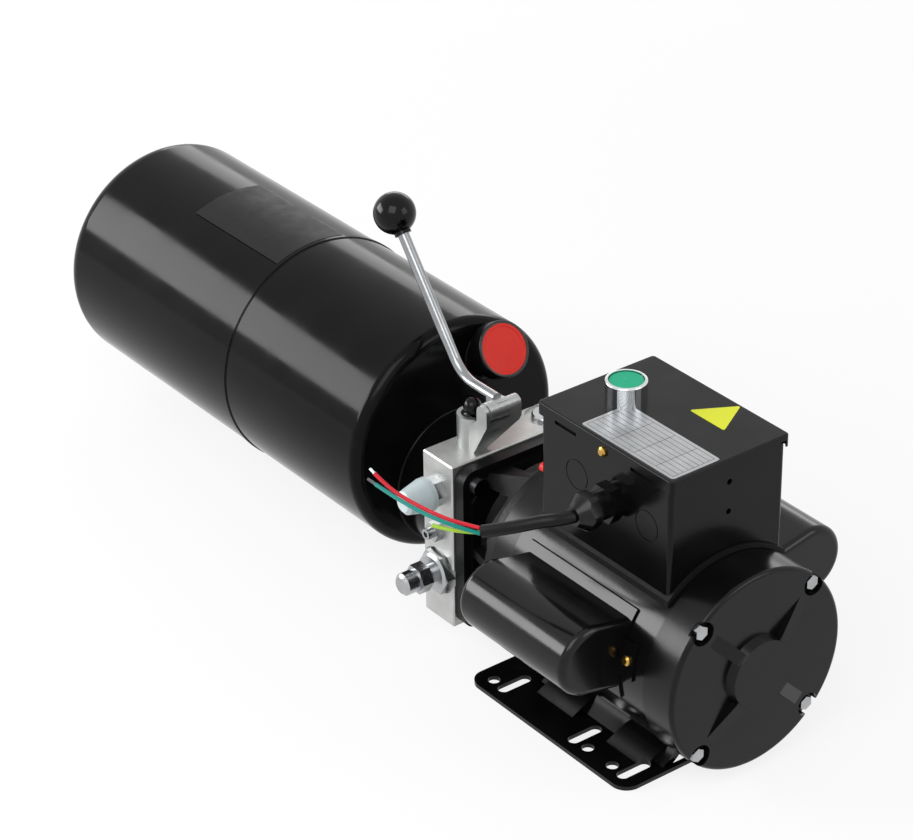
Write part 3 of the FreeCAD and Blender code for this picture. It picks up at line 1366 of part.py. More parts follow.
def manifold_block():
    """Machined aluminium block: spigot, shaft bore, valve bores and port recesses."""
    half = S.block_side / 2
    body = new_body("block_body", (BLOCK_BACK, 0, AXIS_Z))
    sketch = sketch_on(body, "block_profile", "YZ_Plane")
    outline(sketch, [(-half, -half), (half, -half), (half, half), (-half, half)])
    pad = body.newObject("PartDesign::Pad", "block_pad")
    pad.Profile = sketch
    bind(pad, "Length", S.block_thickness)
    DOC.recompute()
    edges = ["Edge%d" % (i + 1) for i in range(len(pad.Shape.Edges))]
    chamfer = body.newObject("PartDesign::Chamfer", "block_edges")
    chamfer.Base = (pad, edges)
    bind(chamfer, "Size", S.block_edge)
    spigot = turned("block_spigot", [
        (-2, 0),
        (-2, S.spigot_radius),
        (S.spigot_length / 2 - S.seal_section, S.spigot_radius),
        (S.spigot_length / 2 - S.seal_section, SEAL_FLOOR),
        (S.spigot_length / 2 + S.seal_section, SEAL_FLOOR),
        (S.spigot_length / 2 + S.seal_section, S.spigot_radius),
        (S.spigot_length, S.spigot_radius),
        (S.spigot_length, 0),
    ], on_axis(BLOCK_BACK), "-X")
    tools = [cylinder("block_shaft_bore", S.pump_bore, S.block_thickness + S.spigot_length + 2,
                      on_axis(PUMP_FRONT - 1), "X")]
    for across, up in corners(S.block_screw_offset):
        depth = S.block_screw_length - S.adapter_flange + 2
        spot = (BLOCK_FRONT - depth, across, AXIS_Z + up)
        tools.append(cylinder("block_screw_hole", S.block_screw_radius + S.seat_gap, depth + 1, spot, "X"))
    face = -half
    for height, radius, depth in (
        (S.port_height, S.port_thread, 18),
        (S.relief_height, S.relief_screw, S.relief_depth),
        (S.check_height, S.check_thread, 20),
        (S.check_height, S.check_recess, S.check_recess_depth),
    ):
        spot = (BLOCK_MIDDLE, face - 1, AXIS_Z + height)
        tools.append(cylinder("block_side_port", radius + S.seat_gap, depth + 1, spot, "Y"))
    plug_spot = (BLOCK_MIDDLE, S.plug_y, BLOCK_TOP + 1)
    tools.append(cylinder("block_plug_bore", S.plug_radius + S.seat_gap, S.plug_depth + 1, plug_spot, "-Z"))
    tools.append(cylinder("block_plug_recess", S.plug_recess, S.plug_recess_depth + 1, plug_spot, "-Z"))
    valve_spot = (VALVE_X, S.valve_y, BLOCK_TOP + 1)
    tools.append(cylinder("block_valve_bore", S.valve_thread + S.seat_gap, S.valve_depth + 1.3, valve_spot, "-Z"))
    for low_y in (-18, -4):
        tools.append(box("block_top_notch", 3, 11, 3, (BLOCK_FRONT - 2, low_y, BLOCK_TOP - 5)))
    for across in (-S.pump_bolt_offset, S.pump_bolt_offset):
        for up in PUMP_BOLT_HEIGHTS:
            spot = (PUMP_FRONT - 1, across, AXIS_Z + up)
            tools.append(cylinder("block_pump_hole", S.pump_bolt_radius + S.seat_gap, 17, spot, "X"))
    node(cut("block_cut", fuse("block_solid", [body, spigot]), tools), "manifold_block")


def neck_seal():
    middle = BLOCK_BACK - S.spigot_length / 2
    node(turned("neck_seal_turned", [
        (-S.seal_section * 0.9, SEAL_FLOOR + S.seat_gap),
        (-S.seal_section * 0.9, S.neck_radius - S.neck_wall - S.seat_gap),
        (S.seal_section * 0.9, S.neck_radius - S.neck_wall - S.seat_gap),
        (S.seal_section * 0.9, SEAL_FLOOR + S.seat_gap),
    ], on_axis(middle)), "neck_seal")


# ---------------------------------------------------------------- block fittings

def side_fitting(name, height):
    return (BLOCK_MIDDLE, -S.block_side / 2, AXIS_Z + height)


def outlet_fitting():
    """Hexagon adapter in the outlet port under a tapered plastic dust cap."""
    at = side_fitting("outlet", S.port_height)
    core = turned("outlet_core", [
        (-16, 4),
        (-16, S.port_thread),
        (0, S.port_thread),
        (0, S.port_flats / 2),
        (S.port_hex, S.port_flats / 2),
        (S.port_hex, S.port_nose_radius),
        (S.port_hex + S.port_nose, S.port_nose_radius),
        (S.port_hex + S.port_nose, 4),
    ], at, "-Y")
    hex_part = hexagon("outlet_hex", S.port_flats, S.port_hex, at, "-Y")
    hex_bore = cylinder("outlet_hex_bore", S.port_nose_radius, S.port_hex, at, "-Y")
    node(fuse("outlet_fuse", [core, cut("outlet_hex_ring", hex_part, [hex_bore])]), "outlet_fitting")
    start = S.port_hex + S.seat_gap
    end = start + S.dust_cap_length
    bore = S.port_nose_radius + S.seat_gap
    node(turned("dust_cap_turned", [
        (start, bore),
        (start, S.dust_cap_radius),
        (start + 4, S.dust_cap_radius),
        (end - 2, S.dust_cap_tip),
        (end, S.dust_cap_tip - 2.5),
        (end, 0),
        (S.port_hex + S.port_nose + 1, 0),
        (S.port_hex + S.port_nose + 1, bore),
    ], at, "-Y"), "outlet_dust_cap")


def relief_valve():
    """Pressure relief: lock nut and adjusting screw."""
    at = side_fitting("relief", S.relief_height)
    nut = hexagon("relief_nut_hex", S.relief_flats, S.relief_nut, at, "-Y")
    bore = cylinder("relief_nut_bore", S.relief_screw + S.running_gap, S.relief_nut, at, "-Y")
    node(cut("relief_nut_cut", nut, [bore]), "relief_lock_nut")
    screw_back = 12
    screw = cylinder("relief_screw_bar", S.relief_screw, S.relief_reach + screw_back,
                     (BLOCK_MIDDLE, -S.block_side / 2 + screw_back, AXIS_Z + S.relief_height), "-Y")
    socket = hexagon("relief_socket", S.relief_screw, 5,
                     (BLOCK_MIDDLE, -S.block_side / 2 - S.relief_reach + 4, AXIS_Z + S.relief_height), "-Y")
    node(cut("relief_screw_cut", screw, [socket]), "relief_adjuster")


def coil_spring(radius, wire_radius, length, turns):
    """A helical spring of six-sided wire standing on its own base, along +Z."""
    helix = Part.makeHelix(length / turns, length, radius)
    points = []
    for step in range(7):
        angle = math.radians(60 * step)
        points.append(VECTOR(radius + wire_radius * math.cos(angle), 0, wire_radius * math.sin(angle)))
    return Part.Wire(helix).makePipeShell([Part.makePolygon(points)], True, True)


def check_valve():
    """Check valve body in its round recess, closed by a cap nut."""
    at = (BLOCK_MIDDLE, -S.block_side / 2 + S.check_recess_depth, AXIS_Z + S.check_height)
    neck_end = S.check_hex + S.check_neck
    core = turned("check_core", [
        (-16, 0),
        (-16, S.check_thread),
        (0, S.check_thread),
        (0, S.check_flats / 2),
        (S.check_hex, S.check_flats / 2),
        (S.check_hex + 1.5, S.check_flats / 2 - 2),
        (S.check_hex + 1.5, S.check_neck),
        (neck_end, S.check_neck),
        (neck_end, 0),
    ], at, "-Y")
    hex_part = hexagon("check_hex_part", S.check_flats, S.check_hex, at, "-Y")
    node(fuse("check_fuse", [core, hex_part]), "check_valve_body")
    nut_at = (BLOCK_MIDDLE, -S.block_side / 2 + S.check_recess_depth - neck_end, AXIS_Z + S.check_height)
    hex_nut = hexagon("cap_nut_hex_part", S.cap_nut_flats, S.cap_nut_hex, nut_at, "-Y")
    barrel = turned("cap_nut_barrel", [
        (S.cap_nut_hex - 1, 0),
        (S.cap_nut_hex - 1, S.cap_nut_radius),
        (S.cap_nut_hex + S.cap_nut_length - 2, S.cap_nut_radius),
        (S.cap_nut_hex + S.cap_nut_length, S.cap_nut_radius - 2),
        (S.cap_nut_hex + S.cap_nut_length, 0),
    ], nut_at, "-Y")
    node(fuse("cap_nut_fuse", [hex_nut, barrel]), "check_valve_cap")


def port_plug():
    """Recessed hexagon socket plug in the block's top."""
    floor = BLOCK_TOP - S.plug_recess_depth
    at = (BLOCK_MIDDLE, S.plug_y, floor)
    plug = turned("plug_turned", [
        (-S.plug_depth + 3, 0),
        (-S.plug_depth + 3, S.plug_radius),
        (S.plug_recess_depth + 1, S.plug_radius),
        (S.plug_recess_depth + 2, S.plug_radius - 1),
        (S.plug_recess_depth + 2, 0),
    ], at, "Z")
    socket = hexagon("plug_socket", 8, 8, (BLOCK_MIDDLE, S.plug_y, floor - 3))
    node(cut("plug_cut", plug, [socket]), "port_plug")


# ---------------------------------------------------------------- release valve and lever

FORK_SLOT = S.plunger_radius + S.fork_room
FORK_TOP = PIN_Z - S.fork_drop
BALL_HEIGHT = S.pin_height - S.fork_drop + S.fork_gap + chord(S.ball_radius, FORK_SLOT)
HUB_NEAR = S.valve_y - S.fork_width / 2
HUB_FAR = HUB_NEAR + S.hub_length
EAR_NEAR = HUB_NEAR - S.side_gap - S.ear_near
EAR_FAR_END = HUB_FAR + S.side_gap + S.ear_far
ROD_Z = PIN_Z + S.rod_rise
KNOB_X = PIN_X - S.rod_stub - S.rod_upper * cosine(S.rod_angle)
KNOB_Z = ROD_Z + S.rod_upper * sine(S.rod_angle)


def release_valve():
    """Screwed valve body, the ball-headed plunger it guides and the plunger's return spring."""
    at = (VALVE_X, S.valve_y, BLOCK_TOP)
    top = S.valve_height - S.valve_cup_depth
    bore = S.plunger_radius + S.running_gap
    guide_bottom = top - S.valve_guide
    inlet = 3
    node(turned("valve_turned", [
        (-S.valve_depth, inlet),
        (-S.valve_depth, S.valve_thread),
        (S.collar_floor, S.valve_thread),
        (S.collar_floor, S.valve_cup - S.seat_gap),
        (top, S.valve_cup - S.seat_gap),
        (top, bore),
        (guide_bottom, bore),
        (guide_bottom, S.spring_cavity),
        (-S.valve_depth + 4, S.spring_cavity),
        (-S.valve_depth + 4, inlet),
    ], at, "Z"), "release_valve_body")
    flange_top = guide_bottom - S.plunger_lift - S.spring_solid
    stem = turned("plunger_stem", [
        (-S.valve_depth + 6, 0),
        (-S.valve_depth + 6, S.plunger_radius - 0.5),
        (flange_top - 2, S.plunger_radius - 0.5),
        (flange_top - 2, S.spring_cavity - S.seat_gap),
        (flange_top, S.spring_cavity - S.seat_gap),
        (flange_top, S.plunger_radius),
        (BALL_HEIGHT, S.plunger_radius),
        (BALL_HEIGHT, 0),
    ], at, "Z")
    head = ball("plunger_ball", S.ball_radius, (VALVE_X, S.valve_y, BLOCK_TOP + BALL_HEIGHT))
    node(fuse("plunger_fuse", [stem, head]), "release_plunger")
    length = (guide_bottom - flange_top - S.slip_gap - S.spring_wire * 2).number
    coil_radius = S.spring_cavity - S.spring_wire - S.slip_gap
    coil = coil_spring(coil_radius.number, S.spring_wire.number, length, S.spring_turns.number)
    base = BLOCK_TOP + flange_top + S.spring_wire + S.seat_gap
    start = VECTOR(VALVE_X.number, S.valve_y.number, base.number)
    shape_node("release_spring", coil, FreeCAD.Placement(start, FreeCAD.Rotation()))


def lever_bracket():
    """One casting: a collar round the valve and an arm that leans forward to the two ears."""
    collar = turned("bracket_collar", [
        (0, S.valve_thread + S.seat_gap),
        (0, S.valve_radius),
        (S.valve_height, S.valve_radius),
        (S.valve_height, S.valve_cup),
        (S.collar_floor, S.valve_cup),
        (S.collar_floor, S.valve_thread + S.seat_gap),
    ], (VALVE_X, S.valve_y, BLOCK_TOP), "Z")
    thickness = S.ear_radius * 2
    back = PIN_X - S.ear_radius
    front = PIN_X + S.ear_radius
    rise = S.pin_height - S.hub_radius - 1
    side = padded("bracket_side", [
        (VALVE_X, 0),
        (PIN_X - S.bracket_root, 0),
        (front, S.bracket_lean),
        (front, rise),
        (back, rise),
        (VALVE_X, rise - S.valve_back + S.ear_radius),
    ], "XZ_Plane", EAR_FAR_END - EAR_NEAR, (0, EAR_FAR_END, BLOCK_TOP))
    root = S.valve_y + S.ear_radius / 2
    face = padded("bracket_face", [
        (EAR_NEAR, 0),
        (root, 0),
        (root + S.valve_cup, S.valve_cup_depth),
        (EAR_FAR_END, rise - S.ear_radius),
        (EAR_FAR_END, rise),
        (EAR_NEAR, rise),
    ], "YZ_Plane", front - VALVE_X, (VALVE_X, 0, BLOCK_TOP))
    parts = [collar, common("bracket_arm", [side, face])]
    for start, width in ((EAR_NEAR, S.ear_near), (HUB_FAR + S.side_gap, S.ear_far)):
        parts.append(box("bracket_ear", thickness, width, S.pin_height - rise + 2, (back, start, BLOCK_TOP + rise - 2)))
        parts.append(cylinder("bracket_ear_top", S.ear_radius, width, (PIN_X, start, PIN_Z), "Y"))
    floor = FORK_TOP - S.fork_sheet - S.fork_clear
    tools = [
        cylinder("bracket_bore", S.valve_cup, S.pin_height, (VALVE_X, S.valve_y, BLOCK_TOP + S.collar_floor)),
        cylinder("bracket_thread", S.valve_thread + S.seat_gap, S.pin_height, (VALVE_X, S.valve_y, BLOCK_TOP)),
        cylinder("bracket_pin_hole", S.pin_radius, EAR_FAR_END - EAR_NEAR, (PIN_X, EAR_NEAR, PIN_Z), "Y"),
        box("bracket_pocket", front - S.bracket_wall - VALVE_X, S.fork_width + S.side_gap * 2, S.pin_height,
            (VALVE_X, HUB_NEAR - S.side_gap, floor)),
    ]
    node(cut("bracket_cut", fuse("bracket_solid", parts), tools), "lever_bracket")


def lever_pin():
    length = EAR_FAR_END - EAR_NEAR
    node(cylinder("pin_bar", S.pin_radius - S.running_gap, length, (PIN_X, EAR_NEAR, PIN_Z), "Y"), "lever_pin")


def lever_hub():
    """Lever hub: barrel on the pin, a grooved seat for the rod and a fork under the plunger's ball."""
    barrel = cylinder("hub_barrel", S.hub_radius, S.hub_length, (PIN_X, HUB_NEAR, PIN_Z), "Y")
    seat_bottom = S.hub_radius - 0.5
    seat = box("hub_seat", S.saddle_back + S.saddle_front, S.saddle_half * 2, seat_bottom + S.saddle_top,
               (PIN_X - S.saddle_back, S.rod_y - S.saddle_half, PIN_Z - seat_bottom))
    low = FORK_TOP - S.fork_sheet
    web = box("hub_web", S.web_back - S.web_front, S.fork_width, PIN_Z - low,
              (PIN_X - S.web_back, HUB_NEAR, low))
    fork = box("hub_fork", S.fork_reach - S.web_front, S.fork_width, S.fork_sheet,
               (PIN_X - S.fork_reach, HUB_NEAR, low))
    eye = VALVE_X + S.fork_swing
    deep = S.fork_sheet * 2
    under = low - S.fork_sheet / 2
    tools = [
        cylinder("hub_pin_hole", S.pin_radius + S.running_gap, S.hub_length, (PIN_X, HUB_NEAR, PIN_Z), "Y"),
        cylinder("hub_fork_eye", FORK_SLOT, deep, (eye, S.valve_y, under)),
        box("hub_fork_slot", S.fork_reach, FORK_SLOT * 2, deep, (eye - S.fork_reach, S.valve_y - FORK_SLOT, under)),
        cylinder("hub_rod_groove", S.rod_radius + S.seat_gap, S.fork_reach * 2, (PIN_X - S.rod_inset, S.rod_y, ROD_Z), "-X"),
    ]
    node(cut("hub_cut", fuse("hub_solid", [barrel, seat, web, fork]), tools), "lever_hub")


def lever_rod():
    """Bent round rod: level out of the hub, then up to the knob."""
    across = S.rod_y.number
    level = ROD_Z.number
    start = VECTOR((PIN_X - S.rod_inset - S.seat_gap).number, across, level)
    corner = VECTOR((PIN_X - S.rod_stub).number, across, level)
    tip = VECTOR(KNOB_X.number, across, KNOB_Z.number)
    wire = route_wire([start, corner, tip], [S.rod_bend.number])
    shape_node("lever_rod", tube_along(wire, S.rod_radius.number))


def along_rod(distance):
    """A point on the axis of the rod's upper stretch, measured beyond its end."""
    return (
        KNOB_X - distance * cosine(S.rod_angle),
        S.rod_y,
        KNOB_Z + distance * sine(S.rod_angle),
    )


def lever_knob():
    """Ball knob with a short collar, screwed on the end of the rod."""
    way = FreeCAD.Rotation(Y_AXIS, S.rod_angle.number - 90)
    head = ball("knob_ball", S.knob_radius, along_rod(S.knob_radius - 3))
    collar_sizes = {"Radius": S.knob_collar, "Height": S.knob_collar_length}
    collar = primitive("Cylinder", "knob_collar_bar", collar_sizes, along_rod(-4), way)
    bore_sizes = {"Radius": S.rod_radius + S.seat_gap, "Height": S.knob_radius * 3}
    bore = primitive("Cylinder", "knob_bore", bore_sizes, along_rod(S.knob_radius * -3), way)
    node(cut("knob_cut", fuse("knob_solid", [head, collar]), [bore]), "lever_knob")


# ---------------------------------------------------------------- tank

def tank_rear_shell():
    """Drawn rear cup whose mouth laps over the front shell at the seam."""
    inner = S.tank_radius - S.tank_wall
    shell = turned("tank_rear_cup", [
        (0, 0),
        (0, S.tank_radius),
        (S.tank_rear_length - S.seam_width, S.tank_radius),
        (S.tank_rear_length - S.seam_width + 1, S.tank_radius + S.seam_step),
        (S.tank_rear_length, S.tank_radius + S.seam_step),
        (S.tank_rear_length, inner),
        (S.tank_wall, inner),
        (S.tank_wall, 0),
    ], (TANK_BACK, 0, TANK_Z))
    round_edges(shell, "tank_rear_edge", S.tank_rear_round, circle_at(0, S.tank_radius))
    round_edges(shell, "tank_rear_inside", S.tank_rear_round - S.tank_wall, circle_at(S.tank_wall, inner))
    node(shell, "tank_rear_shell")


def tank_front_shell():
    """Front cup with the angled filler spout and the opening for the neck."""
    inner = S.tank_radius - S.tank_wall
    length = S.tank_front_length
    cup = turned("tank_front_cup", [
        (0, inner),
        (0, S.tank_radius),
        (length, S.tank_radius),
        (length, 0),
        (length - S.tank_wall, 0),
        (length - S.tank_wall, inner),
    ], (TANK_SEAM, 0, TANK_Z))
    round_edges(cup, "tank_front_edge", S.tank_front_round, circle_at(length, S.tank_radius))
    round_edges(cup, "tank_front_inside", S.tank_front_round - S.tank_wall, circle_at(length - S.tank_wall, inner))
    spout_turn = FreeCAD.Rotation(Y_AXIS, 90 - S.spout_tilt.number)
    back_off = 12
    spout_back = along_spout(-back_off)
    sizes = {"Radius": S.spout_radius, "Height": S.spout_length + back_off}
    spout = primitive("Cylinder", "tank_spout", sizes, spout_back, spout_turn)
    front_only = box("tank_spout_limit", S.neck_length * 2, S.tank_radius * 2, S.tank_radius * 4,
                     (TANK_FRONT - S.tank_wall / 2, -S.tank_radius, 0))
    spout_front = common("tank_spout_front", [spout, front_only])
    bore_sizes = {"Radius": S.spout_radius - S.spout_wall, "Height": S.spout_length + 60}
    spout_bore = primitive("Cylinder", "tank_spout_bore", bore_sizes, along_spout(-30), spout_turn)
    neck_hole = cylinder("tank_neck_hole", S.neck_radius - S.neck_wall, S.neck_length, on_axis(TANK_FRONT - 20), "X")
    solid = fuse("tank_front_solid", [cup, spout_front])
    node(cut("tank_front_cut", solid, [spout_bore, neck_hole]), "tank_front_shell")


def tank_neck():
    """Neck tube butted on the tank's front face, bored for the block's spigot and its four screws."""
    tube = cylinder("neck_tube", S.neck_radius, S.neck_length, on_axis(TANK_FRONT), "X")
    tools = [cylinder("neck_bore", S.neck_radius - S.neck_wall, S.neck_length, on_axis(TANK_FRONT), "X")]
    for quarter in corners(1):
        tools.append(neck_screw_bar("neck_screw_hole", S.neck_screw_radius + S.seat_gap, quarter))
    node(cut("neck_cut", tube, tools), "tank_neck")


def along_spout(distance):
    """A point on the filler's axis, measured out from the tank's front face."""
    return (
        TANK_FRONT + distance * cosine(S.spout_tilt),
        S.spout_y,
        TANK_Z + S.spout_rise + distance * sine(S.spout_tilt),
    )


def neck_screw_bar(name, radius, quarter):
    """A bar along one diagonal of the neck, from its inside face outwards."""
    across, up = quarter
    way = VECTOR(0, across, up)
    slant = math.sqrt(0.5)
    inner = S.neck_radius - S.neck_wall
    at = (BLOCK_BACK - S.spigot_length / 4, across * slant * inner, AXIS_Z + up * slant * inner)
    return primitive("Cylinder", name, {"Radius": radius, "Height": S.neck_wall + 3}, at,
                     FreeCAD.Rotation(Z_AXIS, way))


def neck_screws():
    """Four screws that lock the tank's neck on the spigot."""
    bars = [neck_screw_bar("neck_screw", S.neck_screw_radius, quarter) for quarter in corners(1)]
    node(group("neck_screw_set", bars), "neck_screws")


def filler_cap():
    """Breather cap whose plug seats in the spout, with a red disc let into its top."""
    at = along_spout(S.spout_length)
    turn = FreeCAD.Rotation(Y_AXIS, -S.spout_tilt.number)
    plug_radius = S.spout_radius - S.spout_wall - S.slip_gap
    cap = turned("filler_cap_turned", [
        (-S.cap_plug, 0),
        (-S.cap_plug, plug_radius),
        (S.seat_gap, plug_radius),
        (S.seat_gap, S.cap_radius),
        (S.cap_length, S.cap_radius),
        (S.cap_length, S.disc_radius + S.seat_gap),
        (S.cap_length - S.disc_thickness, S.disc_radius + S.seat_gap),
        (S.cap_length - S.disc_thickness, 0),
    ], at, turn=turn)
    round_edges(cap, "filler_cap_rim", 1, circle_at(S.cap_length, S.cap_radius))
    node(cap, "filler_cap")
    node(turned("filler_disc_turned", [
        (S.cap_length - S.disc_thickness, 0),
        (S.cap_length - S.disc_thickness, S.disc_radius),
        (S.cap_length - 0.3, S.disc_radius),
        (S.cap_length - 0.3, S.disc_radius - 2),
        (S.cap_length - 0.6, S.disc_radius - 2.5),
        (S.cap_length - 0.6, 0),
    ], at, turn=turn), "filler_cap_disc")


# ---------------------------------------------------------------- gear pump

def stadium(name, radius, length, along):
    """Two round lobes about the gear axes, joined by a straight band."""
    upper = cylinder(name + "_upper", radius, length, (along, 0, AXIS_Z), "X")
    lower = cylinder(name + "_lower", radius, length, (along, 0, DRIVEN_Z), "X")
    band = box(name + "_band", length, radius * 2, GEAR_CENTRES, (along, -radius, DRIVEN_Z))
    return fuse(name, [upper, lower, band])


def involute_gear(radius_turn):
    """Outline of a spur gear with involute flanks, thinned for backlash, about +Z."""
    module = S.tooth_module.number
    count = int(round(S.tooth_count.number))
    pitch = module * count / 2
    base = pitch * math.cos(math.radians(20))
    tip = pitch + module * 0.95
    floor = pitch - module * 1.15
    half_pitch = math.pi / (2 * count) - S.backlash.number / (2 * pitch)
    flare = math.tan(math.radians(20)) - math.radians(20)
    flank = []
    for step in range(4):
        radius = base + (tip - base) * step / 3
        pressure = math.acos(base / radius)
        flank.append((radius, half_pitch + flare - (math.tan(pressure) - pressure)))
    profile = [(floor, flank[0][1])] + flank
    points = []
    for tooth in range(count):
        centre = 2 * math.pi * tooth / count + radius_turn
        side = [(radius, centre - angle) for radius, angle in profile]
        side += [(radius, centre + angle) for radius, angle in reversed(profile)]
        points += [VECTOR(radius * math.cos(angle), radius * math.sin(angle), 0) for radius, angle in side]
    return Part.makePolygon(points + points[:1])


def gear(label, centre_z, shaft_front, shaft_back, radius_turn):
    """One pump gear in one piece with its shaft."""
    width = (S.gear_width - S.gear_gap).number
    teeth = Part.Face(involute_gear(radius_turn)).extrude(VECTOR(0, 0, width))
    teeth.Placement = FreeCAD.Placement(VECTOR(GEAR_BACK.number, 0, centre_z.number), FROM_Z["X"])
    start = VECTOR(shaft_back.number, 0, centre_z.number)
    bar = Part.makeCylinder(S.stub_radius.number, (shaft_front - shaft_back).number, start, X_AXIS)
    shape_node(label, teeth.fuse(bar).removeSplitter())


def gear_pump():
    """Pump body, cover, the two meshed gears and the four bolts into the spigot."""
    shaft_bore = S.stub_radius + S.running_gap
    cavity_radius = GEAR_CENTRES / 2 + S.tooth_module * 0.95 + S.gear_gap
    body = stadium("pump_body_blank", S.pump_lobe, S.pump_body_length, PUMP_BODY_BACK)
    cavity = stadium("pump_cavity", cavity_radius, S.gear_width + S.gear_gap, PUMP_BODY_BACK)
    through = cylinder("pump_drive_bore", shaft_bore, S.pump_body_length, on_axis(PUMP_BODY_BACK), "X")
    blind = cylinder("pump_driven_bore", shaft_bore, S.pump_body_length - 6, (PUMP_BODY_BACK, 0, DRIVEN_Z), "X")
    body_holes = []
    cover_holes = []
    bolts = []
    for across in (-S.pump_bolt_offset, S.pump_bolt_offset):
        for up in PUMP_BOLT_HEIGHTS:
            spot = (PUMP_BACK, across, AXIS_Z + up)
            length = S.pump_body_length + S.pump_cover_length
            hole = cylinder("pump_bolt_hole", S.pump_bolt_radius + S.seat_gap, length, spot, "X")
            body_holes.append(hole)
            cover_holes.append(cylinder("pump_cover_hole", S.pump_bolt_radius + S.seat_gap, length, spot, "X"))
            shank = cylinder("pump_bolt_shank", S.pump_bolt_radius, length + 14, spot, "X")
            head = cylinder("pump_bolt_head", S.pump_bolt_radius * 1.7, 5, spot, "-X")
            bolts.append(fuse("pump_bolt", [shank, head]))
    node(cut("pump_body_cut", body, [cavity, through, blind] + body_holes), "pump_body")
    cover = stadium("pump_cover_blank", S.pump_lobe, S.pump_cover_length, PUMP_BACK)
    pockets = []
    for height in (AXIS_Z, DRIVEN_Z):
        pockets.append(cylinder("pump_cover_pocket", shaft_bore, S.pump_cover_length - 3, (PUMP_BACK + 3, 0, height), "X"))
    inlet = cylinder("pump_cover_inlet", S.suction_radius + S.seat_gap, 4, SUCTION_START, "X")
    node(cut("pump_cover_cut", cover, pockets + cover_holes + [inlet]), "pump_cover")
    node(group("pump_bolt_set", bolts), "pump_bolts")
    half_tooth = math.pi / int(round(S.tooth_count.number))
    shaft_back = PUMP_BACK + 3.5
    gear("drive_gear", AXIS_Z, SHAFT_BACK - 2, shaft_back, 0)
    gear("driven_gear", DRIVEN_Z, PUMP_FRONT - 6.5, shaft_back, half_tooth)


def suction_line():
    """Suction tube from the pump cover down to a strainer near the tank's bottom."""
    strainer_z = TANK_Z - S.tank_radius + S.tank_wall + S.suction_drop
    start = VECTOR((PUMP_BACK + 3.5).number, 0, SUCTION_START[2].number)
    corner = VECTOR((PUMP_BACK - S.suction_lead).number, 0, SUCTION_START[2].number)
    fall_end = PUMP_BACK - S.suction_lead - S.suction_fall
    low = VECTOR(fall_end.number, 0, strainer_z.number)
    tube_end = fall_end - S.suction_tail
    end = VECTOR(tube_end.number, 0, strainer_z.number)
    wire = route_wire([start, corner, low, end], [S.suction_bend.number] * 2)
    bore = S.suction_radius - S.suction_wall
    shape_node("suction_tube", tube_along(wire, S.suction_radius.number, bore.number))
    strainer_start = tube_end + S.strainer_lap
    node(turned("strainer_turned", [
        (0, S.suction_radius + S.seat_gap),
        (0, S.strainer_radius),
        (S.strainer_length, S.strainer_radius),
        (S.strainer_length, 0),
        (S.strainer_length - 2, 0),
        (S.strainer_length - 2, S.strainer_radius - 2),
        (14, S.strainer_radius - 2),
        (14, S.suction_radius + S.seat_gap),
    ], (strainer_start, 0, strainer_z), "-X"), "suction_strainer")


# ---------------------------------------------------------------- build, check and write

def build():
    end_cover()
    motor_shell()
    drive_end_shield()
    stator()
    rotor()
    shaft_bearings()
    through_bolts()
    foot_plate()
    capacitor_cover(-1, "capacitor_cover_near")
    capacitor_cover(1, "capacitor_cover_far")
    capacitors()
    brass_screws()
    junction_box()
    box_saddle()
    box_lid()
    push_button()
    reset_button()
    cable_gland()
    power_cord()
    adapter_housing()
    adapter_screws()
    manifold_block()
    neck_seal()
    outlet_fitting()
    relief_valve()
    check_valve()
    port_plug()
    release_valve()
    lever_bracket()
    lever_pin()
    lever_hub()
    lever_rod()
    lever_knob()
    tank_rear_shell()
    tank_front_shell()
    tank_neck()
    neck_screws()
    filler_cap()
    gear_pump()
    suction_line()
    DOC.recompute()


def check():
    """Stops with a plain message if any object failed or any piece is not a sound solid."""
    faults = []
    for thing in DOC.Objects:
        if "Invalid" in thing.State or "Error" in thing.State:
            faults.append("%s: %s" % (thing.Name, thing.State))
    for thing in NODES:
        shape = thing.Shape
        if shape.isNull() or not shape.isValid() or not shape.Solids:
            faults.append(thing.Label + " is not a valid solid")
    if faults:
        raise RuntimeError("; ".join(faults))


def write():
    os.makedirs("parts", exist_ok=True)
    for thing in NODES:
        thing.Shape.exportStep("parts/%s.step" % thing.Label)
        box_size = thing.Shape.BoundBox
        print("%-22s solids %d volume %.0f x %.1f %.1f y %.1f %.1f z %.1f %.1f" % (
            thing.Label, len(thing.Shape.Solids), thing.Shape.Volume, box_size.XMin, box_size.XMax,
            box_size.YMin, box_size.YMax, box_size.ZMin, box_size.ZMax))


build()
check()
write()
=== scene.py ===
"""Looks of the hydraulic power unit.

Finishes for its solids, the thin pieces that sit on them, its leads, and a plain stage.
"""

import math

import bmesh
import bpy
from mathutils import Matrix, Vector


